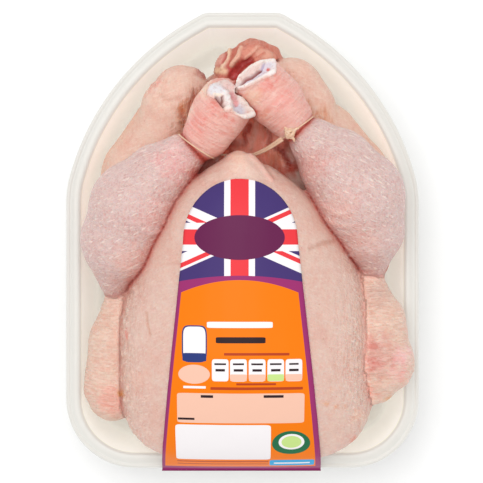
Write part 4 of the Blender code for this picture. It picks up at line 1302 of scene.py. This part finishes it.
def tray_outline(inset):
    """The tray's outline moved inwards, counter-clockwise, always with the same number of points."""
    corners = (
        (TRAY_HALF_WIDTH, -TRAY_HALF_LENGTH),
        (TRAY_HALF_WIDTH, TRAY_SHOULDER_START),
        TRAY_SHOULDER,
        (TRAY_TOP_HALF_WIDTH, TRAY_HALF_LENGTH),
    )
    ring = [Vector(corner) for corner in corners]
    ring += [Vector((-corner[0], corner[1])) for corner in reversed(corners)]
    radii = TRAY_CORNER_RADII + tuple(reversed(TRAY_CORNER_RADII))
    moved = []
    for before, corner, after in zip(ring[-1:] + ring[:-1], ring, ring[1:] + ring[:1]):
        sides = [(corner - before).normalized(), (after - corner).normalized()]
        normals = [Vector((-side.y, side.x)) for side in sides]
        spread = 1.0 + normals[0].dot(normals[1])
        moved.append(corner + (normals[0] + normals[1]) * inset / spread)
    points = []
    for place, radius in enumerate(radii):
        before, after = moved[place - 1], moved[(place + 1) % len(moved)]
        radius = max(radius - inset, SMALLEST_CORNER)
        points += rounded_corner(before, moved[place], after, radius, TRAY_ARC_STEPS)
    return points


def tray_profile():
    """Inset and height round the plastic's section, from the underside's middle to the floor's middle."""
    fillet = [math.radians(angle) for angle in FILLET_ANGLES]
    wall_foot = RIM_WIDTH + WALL_DRAFT
    outside = [
        (wall_foot - PLASTIC + FLOOR_FILLET * (1 - math.cos(a)), FLOOR_FILLET * (1 - math.sin(a)))
        for a in fillet
    ]
    rim = [(inset, RIM_HEIGHT - depth) for inset, depth in RIM_SECTION]
    radius = FLOOR_FILLET - PLASTIC
    inside = [
        (wall_foot + radius * (1 - math.cos(a)), PLASTIC + radius * (1 - math.sin(a)))
        for a in reversed(fillet)
    ]
    return outside + rim + inside


def milky_plastic(settings):
    """Thermoformed polypropylene: milky and glossy, a little of what lies behind shows through it. It gives
    off a little painted light of its own, standing in for light through the plastic.
    """
    look, tree = new_material("milky polypropylene")
    place = millimetres(tree)
    cloud = add(tree, "TexNoise", {"Vector": place, "Scale": 1 / 45, "Detail": 2.0})["Fac"]
    # Painted light: the whole tray gives off a little light of its own, standing in for light through the
    # plastic
    painted_glow = (*linear("#f7fbf6"), 1.0)

    # Painted light and shade: below the rim, what faces up is painted much paler than the rim, as if lit
    # through the plastic, and everything is painted darker towards the floor
    height = add(tree, "SeparateXYZ", {0: place})[2]
    upward = add(tree, "SeparateXYZ", {0: add(tree, "NewGeometry")["True Normal"]})[2]
    inside = add(tree, "Math", {0: upward, 1: 0.05}, operation="GREATER_THAN")[0]
    below_rim, low = (
        add(tree, "MapRange", {"Value": height, "From Min": start, "From Max": full})[0]
        for start, full in ((RIM_HEIGHT - 0.6, RIM_HEIGHT - 4.0), (16.0, 3.0))
    )
    lit = add(tree, "Math", {0: below_rim, 1: inside}, operation="MULTIPLY")[0]
    colour = (*settings.plastic, 1.0)
    for share, over in ((lit, settings.lit_plastic), (low, linear("#dbdbd3"))):
        colour = add(tree, "Mix", {0: share, 6: colour, 7: (*over, 1.0)}, **COVER)[2]
    colour = add(tree, "Mix", {0: cloud, 6: colour, 7: (0.97, 0.96, 0.94, 1.0)}, **TINT)[2]
    ripple = add(tree, "TexNoise", {"Vector": place, "Scale": 1 / 12, "Detail": 2.0})["Fac"]
    bump = add(tree, "Bump", {"Height": ripple, "Strength": 0.3, "Distance": 0.3 * MM})[0]
    shader = add(tree, "BsdfPrincipled", {
        "Base Color": colour, "Roughness": 0.26, "Normal": bump, "IOR": 1.49,
        "Subsurface Weight": 0.4, "Subsurface Radius": (1.0, 0.97, 0.9), "Subsurface Scale": 0.004,
        "Specular IOR Level": 0.4, "Emission Color": painted_glow, "Emission Strength": 0.25,
    })[0]
    return finished(look, tree, shader)


class CHICKEN_OT_tray(bpy.types.Operator):
    """Makes the thermoformed tray"""

    bl_idname = "chicken.make_tray"
    bl_label = "Tray"

    def execute(self, context):
        profile = tray_profile()
        points, faces = [], []
        for inset, height in profile:
            points += [(x, y, height) for x, y in tray_outline(inset)]
        around = len(points) // len(profile)
        for ring in range(len(profile) - 1):
            for step in range(around):
                following = (step + 1) % around
                first, second = ring * around, (ring + 1) * around
                faces.append((first + step, first + following, second + following, second + step))
        faces.append(tuple(reversed(range(around))))
        faces.append(tuple(range(len(points) - around, len(points))))
        look = milky_plastic(context.scene.chicken_tray)
        mesh_piece("tray_shell", points, faces, look, "tray")
        return {"FINISHED"}


def tube(route, radii, closed, sides=10):
    """Points and faces of a round strand along a route, its frame carried along without twisting."""
    route = [Vector(place) for place in route]
    count = len(route)
    points, faces = [], []
    side = None
    for step, place in enumerate(route):
        before = route[step - 1] if closed or step else place
        after = route[(step + 1) % count] if closed or step + 1 < count else place
        ahead = (after - before).normalized()
        side = ahead.orthogonal() if side is None else side - ahead * side.dot(ahead)
        side.normalize()
        up = ahead.cross(side)
        for turn in range(sides):
            angle = math.tau * turn / sides
            points.append(place + (side * math.cos(angle) + up * math.sin(angle)) * radii[step])
    for ring in range(count if closed else count - 1):
        first, second = ring * sides, (ring + 1) % count * sides
        for turn in range(sides):
            following = (turn + 1) % sides
            faces.append((first + turn, first + following, second + following, second + turn))
    if not closed:
        faces.append(tuple(reversed(range(sides))))
        faces.append(tuple(range((count - 1) * sides, count * sides)))
    return points, faces


def smooth_route(places, steps=8):
    """A curve through the given places, by Catmull and Rom's rule."""
    places = [Vector(place) for place in places]
    padded = [places[0] * 2 - places[1], *places, places[-1] * 2 - places[-2]]
    route = []
    for a, b, c, d in zip(padded, padded[1:], padded[2:], padded[3:]):
        for step in range(steps):
            t = step / steps
            route.append(0.5 * (2 * b + (c - a) * t + (2 * a - 5 * b + 4 * c - d) * t**2
                                + (3 * b - a - 3 * c + d) * t**3))
    return route + [places[-1]]


def turn_round(skin, hock_place):
    """A ring that lies on the skin round a hock, found by looking out from the leg's own axis."""
    centre, axis = Vector(hock_place[0]), Vector(hock_place[1]).normalized()
    side = axis.cross(Vector((0, 0, 1))).normalized()
    up = side.cross(axis)
    angles = [math.tau * step / TURN_STEPS for step in range(TURN_STEPS)]
    spokes = [side * math.cos(angle) + up * math.sin(angle) for angle in angles]
    reaches = [skin.ray_cast(centre, spoke)[3] for spoke in spokes]
    longest = TURN_LIMIT * sorted(reaches)[TURN_STEPS // 2]
    return [centre + spoke * (min(reach, longest) + TURN_LIFT) for spoke, reach in zip(spokes, reaches)]


def cream_rubber(settings):
    """Cut rubber band: cream, dull, and a little greasy from the bird."""
    look, tree = new_material("cream natural rubber")
    place = millimetres(tree)
    stain = add(tree, "TexNoise", {"Vector": place, "Scale": 1 / 3, "Detail": 3.0})["Fac"]
    cream = (*settings.elastic, 1.0)
    colour = add(tree, "Mix", {0: stain, 6: cream, 7: (0.80, 0.66, 0.54, 1.0)}, **TINT)[2]
    bump = add(tree, "Bump", {"Height": stain, "Strength": 0.5, "Distance": 0.3 * MM})[0]
    shader = add(tree, "BsdfPrincipled", {
        "Base Color": colour, "Roughness": 0.5, "Normal": bump, "Specular IOR Level": 0.45,
        "Subsurface Weight": 0.15, "Subsurface Radius": (1.0, 0.6, 0.4), "Subsurface Scale": 0.002,
    })[0]
    return finished(look, tree, shader)


class CHICKEN_OT_elastic(bpy.types.Operator):
    """Makes the elastic that holds the hocks"""

    bl_idname = "chicken.make_elastic"
    bl_label = "Elastic"

    def execute(self, context):
        skin = skin_tree()
        look = cream_rubber(context.scene.chicken_tray)
        rings = [turn_round(skin, place) for place in (RIGHT_HOCK, LEFT_HOCK)]
        ends = [
            min(ring, key=lambda place: (place - Vector(end)).length)
            for ring, end in zip(rings, STRAND_ENDS)
        ]
        points, faces = [], []

        def keep(made):
            start = len(points)
            points.extend(made[0])
            faces.extend([tuple(start + corner for corner in face) for face in made[1]])

        for ring in rings:
            keep(tube(ring, [TURN_RADIUS] * len(ring), True))
        strand = smooth_route([ends[0], *UNDER_KEEL, ends[1]])
        for side in (-1, 1):
            line = [
                Vector(place) + Vector(STRAND_SPLIT) * side * (1 - step / len(strand))
                for step, place in enumerate(strand)
            ]
            keep(tube(line, np.linspace(ELASTIC_RADIUS, TURN_RADIUS, len(line)), False))
        knot = min(rings[0], key=lambda place: (place - Vector(KNOT_PLACE)).length)
        for loop in KNOT_LOOPS:
            route = smooth_route([knot + Vector(place) * KNOT_SIZE for place in (*loop, loop[0])])
            keep(tube(route, [KNOT_RADIUS] * len(route), False))
        for end in KNOT_ENDS:
            route = smooth_route([knot + Vector(place) * KNOT_SIZE for place in end])
            keep(tube(route, np.linspace(KNOT_RADIUS, KNOT_END_RADIUS, len(route)), False))
        mesh_piece("hock_elastic", points, faces, look, "elastic")
        return {"FINISHED"}


def upper_hull(places, heights):
    """The heights of a film pulled tight over the given profile."""
    hull = []
    for place, height in zip(places, heights):
        while len(hull) > 1:
            (x1, z1), (x2, z2) = hull[-2:]
            if (z2 - z1) * (place - x1) > (height - z1) * (x2 - x1):
                break
            hull.pop()
        hull.append((place, height))
    return np.interp(places, [x for x, _ in hull], [z for _, z in hull])


def film_height(skin, x, places):
    """Heights over one line along the bird where a tight film would lie, down to the tray's rim."""
    heights = []
    for y in places:
        hit = skin.ray_cast(Vector((x, y, ABOVE_ALL)), Vector((0, 0, -1)))[0]
        heights.append(max(hit.z, RIM_HEIGHT) if hit and y > LABEL_FLAT_START else RIM_HEIGHT)
    film = upper_hull(places, heights)
    return np.where(places <= LABEL_FLAT_START, RIM_HEIGHT, film)


def label_rows():
    """The y and half width of each row of the label, from the end over the rim to the arch's top."""
    rows = []
    for step in range(LABEL_ROWS):
        y = LABEL_END + (LABEL_ARCH_START - LABEL_END) * step / LABEL_ROWS
        rows.append((y, LABEL_ARCH_HALF_WIDTH + LABEL_SPREAD * (LABEL_ARCH_START - y)))
    for step in range(LABEL_ARCH_ROWS + 1):
        angle = math.radians(LABEL_ARCH_TURN) * step / LABEL_ARCH_ROWS
        rows.append((
            LABEL_ARCH_START + LABEL_ARCH_LENGTH * math.sin(angle),
            LABEL_ARCH_HALF_WIDTH * math.cos(angle),
        ))
    return rows


def print_fields():
    """The plain fields of the print, with those of the small panels last."""
    fields = []
    for middle, line, foot in SMALL_PANELS:
        fields.append(((middle, PANEL_LEVEL), PANEL_HALVES, 8, "paper"))
        if foot:
            fields.append(((middle, PANEL_FOOT_LEVEL), PANEL_FOOT_HALVES, 12, foot))
        fields.append(((middle, PANEL_TOP_LINE_LEVEL), (line, PANEL_TOP_LINE_HALF), 40, "ink"))
        fields.append(((middle, PANEL_LINE_LEVEL), PANEL_LINE_HALVES, 40, "ink"))
    return (*PRINT_FIELDS, *fields)


def printed_label(settings):
    """Printed and varnished label paper: flat fields of ink with a low gloss."""
    look, tree = new_material("varnished label paper")
    sheet = add(tree, "Attribute", attribute_name="sheet")["Vector"]
    across, down, from_side = add(tree, "SeparateXYZ", {0: sheet})[:3]

    # Stripes cross in the arch, each slanted one lying to one side of its own white edge
    aside = add(tree, "Math", {0: across, 1: STRIPE_CENTRE[0]}, operation="SUBTRACT")[0]
    below = add(tree, "Math", {0: down, 1: STRIPE_CENTRE[1]}, operation="SUBTRACT")[0]
    turns = [add(tree, "Math", {0: value}, operation="SIGN")[0] for value in (aside, below)]
    quarter = add(tree, "Math", {0: turns[0], 1: turns[1]}, operation="MULTIPLY")[0]
    wide, tall = [add(tree, "Math", {0: value}, operation="ABSOLUTE")[0] for value in (aside, below)]
    lean = add(tree, "Math", {0: wide, 1: -STRIPE_SLOPE, 2: tall}, operation="MULTIPLY_ADD")[0]
    slant = add(tree, "Math", {0: quarter, 1: lean}, operation="MULTIPLY")[0]

    # The purple border and the orange field have curved tops, and the field leaves a border at the sides
    bow = add(tree, "Math", {0: aside, 1: aside}, operation="MULTIPLY")[0]
    purple, orange = (
        add(tree, "Math", {0: bow, 1: curve, 2: start}, operation="MULTIPLY_ADD")[0]
        for start, curve in (PURPLE_START, ORANGE_START)
    )
    border = add(tree, "Math", {0: across, 1: SIDE_BORDER_LEAN, 2: SIDE_BORDER}, operation="MULTIPLY_ADD")[0]

    # Each layer is an ink and the tests that a place has to pass to be printed with it
    layers = [
        ("paper", (("GREATER_THAN", slant, SLANT_WHITE[0]), ("LESS_THAN", slant, SLANT_WHITE[1]))),
        ("red", (("GREATER_THAN", slant, SLANT_RED[0]), ("LESS_THAN", slant, SLANT_RED[1]))),
        ("paper", (("LESS_THAN", wide, UPRIGHT_HALVES[0]),)),
        ("paper", (("LESS_THAN", tall, LEVEL_HALVES[0]),)),
        ("red", (("LESS_THAN", wide, UPRIGHT_HALVES[1]),)),
        ("red", (("LESS_THAN", tall, LEVEL_HALVES[1]),)),
        ("purple", (("GREATER_THAN", down, purple),)),
        ("orange", (
            ("GREATER_THAN", down, orange), ("LESS_THAN", down, ORANGE_END),
            ("GREATER_THAN", from_side, border),
        )),
    ]
    for middle, halves, squareness, ink in print_fields():
        moved = add(tree, "VectorMath", {0: sheet, 1: (*middle, 0.0)}, operation="SUBTRACT")[0]
        scaled = add(tree, "VectorMath", {
            0: moved, 1: (1 / halves[0], 1 / halves[1], 0.0),
        }, operation="MULTIPLY")[0]
        sides = add(tree, "SeparateXYZ", {0: add(tree, "VectorMath", {0: scaled}, operation="ABSOLUTE")[0]})
        powers = [add(tree, "Math", {0: side, 1: squareness}, operation="POWER")[0] for side in sides[:2]]
        reach = add(tree, "Math", {0: powers[0], 1: powers[1]}, operation="ADD")[0]
        layers.append((ink, (("LESS_THAN", reach, 1.0),)))
    colour = (*settings.blue, 1.0)
    for ink, tests in layers:
        mask = 1.0
        for operation, value, limit in tests:
            passed = add(tree, "Math", {0: value, 1: limit}, operation=operation)[0]
            mask = add(tree, "Math", {0: mask, 1: passed}, operation="MULTIPLY")[0]
        colour = add(tree, "Mix", {0: mask, 6: colour, 7: (*getattr(settings, ink), 1.0)}, **COVER)[2]

    place = millimetres(tree)
    slack = add(tree, "TexNoise", {"Vector": place, "Scale": 1 / 30, "Detail": 1.0})["Fac"]
    bump = add(tree, "Bump", {"Height": slack, "Strength": 0.4, "Distance": MM})[0]
    shader = add(tree, "BsdfPrincipled", {
        "Base Color": colour, "Roughness": 0.45, "Normal": bump, "Specular IOR Level": 0.15,
    })[0]
    return finished(look, tree, shader)


class CHICKEN_OT_label(bpy.types.Operator):
    """Makes the printed label over the breast"""

    bl_idname = "chicken.make_label"
    bl_label = "Label"

    def execute(self, context):
        skin = skin_tree()
        rows = label_rows()
        places = np.arange(LABEL_END, FILM_TOP, FILM_STEP)
        lines = np.linspace(-FILM_HALF_WIDTH, FILM_HALF_WIDTH, FILM_LINES)
        film = np.array([film_height(skin, x, places) for x in lines])
        rows_top = LABEL_ARCH_START + LABEL_ARCH_LENGTH
        run = np.concatenate([[0.0], np.cumsum(np.hypot(np.diff(film[FILM_LINES // 2]), np.diff(places)))])
        under, sheet = [], []
        for y, half_width in rows:
            share = (y - LABEL_END) / (rows_top - LABEL_END)
            middle = LABEL_MIDDLE_X[1] + (LABEL_MIDDLE_X[0] - LABEL_MIDDLE_X[1]) * share
            across = middle + half_width * np.linspace(-1.0, 1.0, LABEL_COLUMNS + 1)
            along = [np.interp(y, places, line) for line in film]
            under.append([(x, y, np.interp(x, lines, along)) for x in across])
            down = np.interp(rows_top, places, run) - np.interp(y, places, run)
            sheet.append([(x, down, half_width - abs(x - middle)) for x in across])
        under, sheet = np.array(under), np.array(sheet).reshape(-1, 3)
        normal = np.cross(np.gradient(under, axis=1), np.gradient(under, axis=0))
        normal /= np.linalg.norm(normal, axis=2)[..., None]
        lower = (under + normal * LABEL_GAP).reshape(-1, 3)
        upper = lower + normal.reshape(-1, 3) * LABEL_THICKNESS
        wide, count = LABEL_COLUMNS + 1, len(lower)
        faces = []
        for row in range(len(rows) - 1):
            for column in range(LABEL_COLUMNS):
                a = row * wide + column
                b, c, d = a + 1, a + wide + 1, a + wide
                faces += [(a, d, c, b), (count + a, count + b, count + c, count + d)]
        border = list(range(wide)) + [row * wide + LABEL_COLUMNS for row in range(1, len(rows))]
        border += [(len(rows) - 1) * wide + column for column in reversed(range(LABEL_COLUMNS))]
        border += [row * wide for row in reversed(range(1, len(rows) - 1))]
        for here, there in zip(border, border[1:] + border[:1]):
            faces.append((here, there, count + there, count + here))
        look = printed_label(context.scene.chicken_label)
        points = np.concatenate([lower, upper])
        piece = mesh_piece("printed_label", points, faces, look, "label")
        write_attribute(piece, "sheet", "FLOAT_VECTOR", np.concatenate([sheet, sheet]))
        return {"FINISHED"}


class CHICKEN_OT_stage(bpy.types.Operator):
    """Makes the floor, the lights and the camera"""

    bl_idname = "chicken.make_stage"
    bl_label = "Stage"

    def execute(self, context):
        settings = context.scene.chicken_stage
        scene = context.scene
        mesh = bpy.data.meshes.new("floor")
        corners = [(x * FLOOR_REACH, y * FLOOR_REACH, 0.0) for x, y in ((-1, -1), (1, -1), (1, 1), (-1, 1))]
        mesh.from_pydata(corners, [], [(0, 1, 2, 3)])
        floor = bpy.data.objects.new("floor", mesh)
        floor.location.z = -FLOOR_DROP
        scene.collection.objects.link(floor)
        # Painted board, sprayed matt: an even white that shows shadows and no shine
        look, tree = new_material("matt white board")
        shader = add(tree, "BsdfPrincipled", {
            "Base Color": (*settings.floor, 1.0), "Roughness": 0.9, "Specular IOR Level": 0.1,
        })[0]
        mesh.materials.append(finished(look, tree, shader))

        for name, place, size, share in LAMPS:
            light = bpy.data.lights.new(name, "AREA")
            light.energy = settings.key_power * share
            light.size = size
            lamp = bpy.data.objects.new(name, light)
            lamp.location = place
            lamp.rotation_euler = (Vector(LAMP_AIM) - Vector(place)).to_track_quat("-Z", "Y").to_euler()
            lamp.visible_camera = False
            scene.collection.objects.link(lamp)

        world = bpy.data.worlds.new("studio")
        world.use_nodes = True
        sky = world.node_tree.nodes["Background"].inputs
        sky["Color"].default_value = (1.0, 1.0, 1.0, 1.0)
        sky["Strength"].default_value = settings.fill_strength
        scene.world = world
        scene.view_settings.view_transform = "Standard"

        data = bpy.data.cameras.new("camera")
        data.sensor_width = SENSOR_WIDTH
        data.lens = SENSOR_WIDTH * CAMERA_HEIGHT / CAMERA_VIEW_WIDTH
        data.clip_end = FAR_LIMIT
        camera = bpy.data.objects.new("camera", data)
        camera.location = placed((*CAMERA_AIM, RIM_HEIGHT + CAMERA_HEIGHT))
        scene.collection.objects.link(camera)
        scene.camera = camera
        return {"FINISHED"}


MAKERS = (
    CHICKEN_OT_bird, CHICKEN_OT_cuts, CHICKEN_OT_elastic, CHICKEN_OT_label, CHICKEN_OT_tray, CHICKEN_OT_stage,
)
SETTINGS = {
    "chicken_bird": BirdSettings,
    "chicken_label": LabelSettings,
    "chicken_tray": TraySettings,
    "chicken_stage": StageSettings,
}


class CHICKEN_PT_panel(bpy.types.Panel):
    """Lists the pieces and their sizes and colours"""

    bl_idname = "CHICKEN_PT_panel"
    bl_label = "Raw chicken"
    bl_space_type = "VIEW_3D"
    bl_region_type = "UI"
    bl_category = "Chicken"

    def draw(self, context):
        for maker in MAKERS:
            self.layout.operator(maker.bl_idname)
        for name, group in SETTINGS.items():
            box = self.layout.box()
            settings = getattr(context.scene, name)
            for field in group.__annotations__:
                box.prop(settings, field)


def register():
    for kind in (*SETTINGS.values(), *MAKERS, CHICKEN_PT_panel):
        bpy.utils.register_class(kind)
    for name, group in SETTINGS.items():
        setattr(bpy.types.Scene, name, bpy.props.PointerProperty(type=group))


def unregister():
    for name in SETTINGS:
        delattr(bpy.types.Scene, name)
    for kind in reversed((*SETTINGS.values(), *MAKERS, CHICKEN_PT_panel)):
        bpy.utils.unregister_class(kind)


def main():
    register()
    bpy.ops.chicken.make_bird()
    bpy.ops.chicken.make_cuts()
    bpy.ops.chicken.make_elastic()
    bpy.ops.chicken.make_label()
    bpy.ops.chicken.make_tray()
    bpy.ops.chicken.make_stage()


if __name__ == "__main__":
    main()
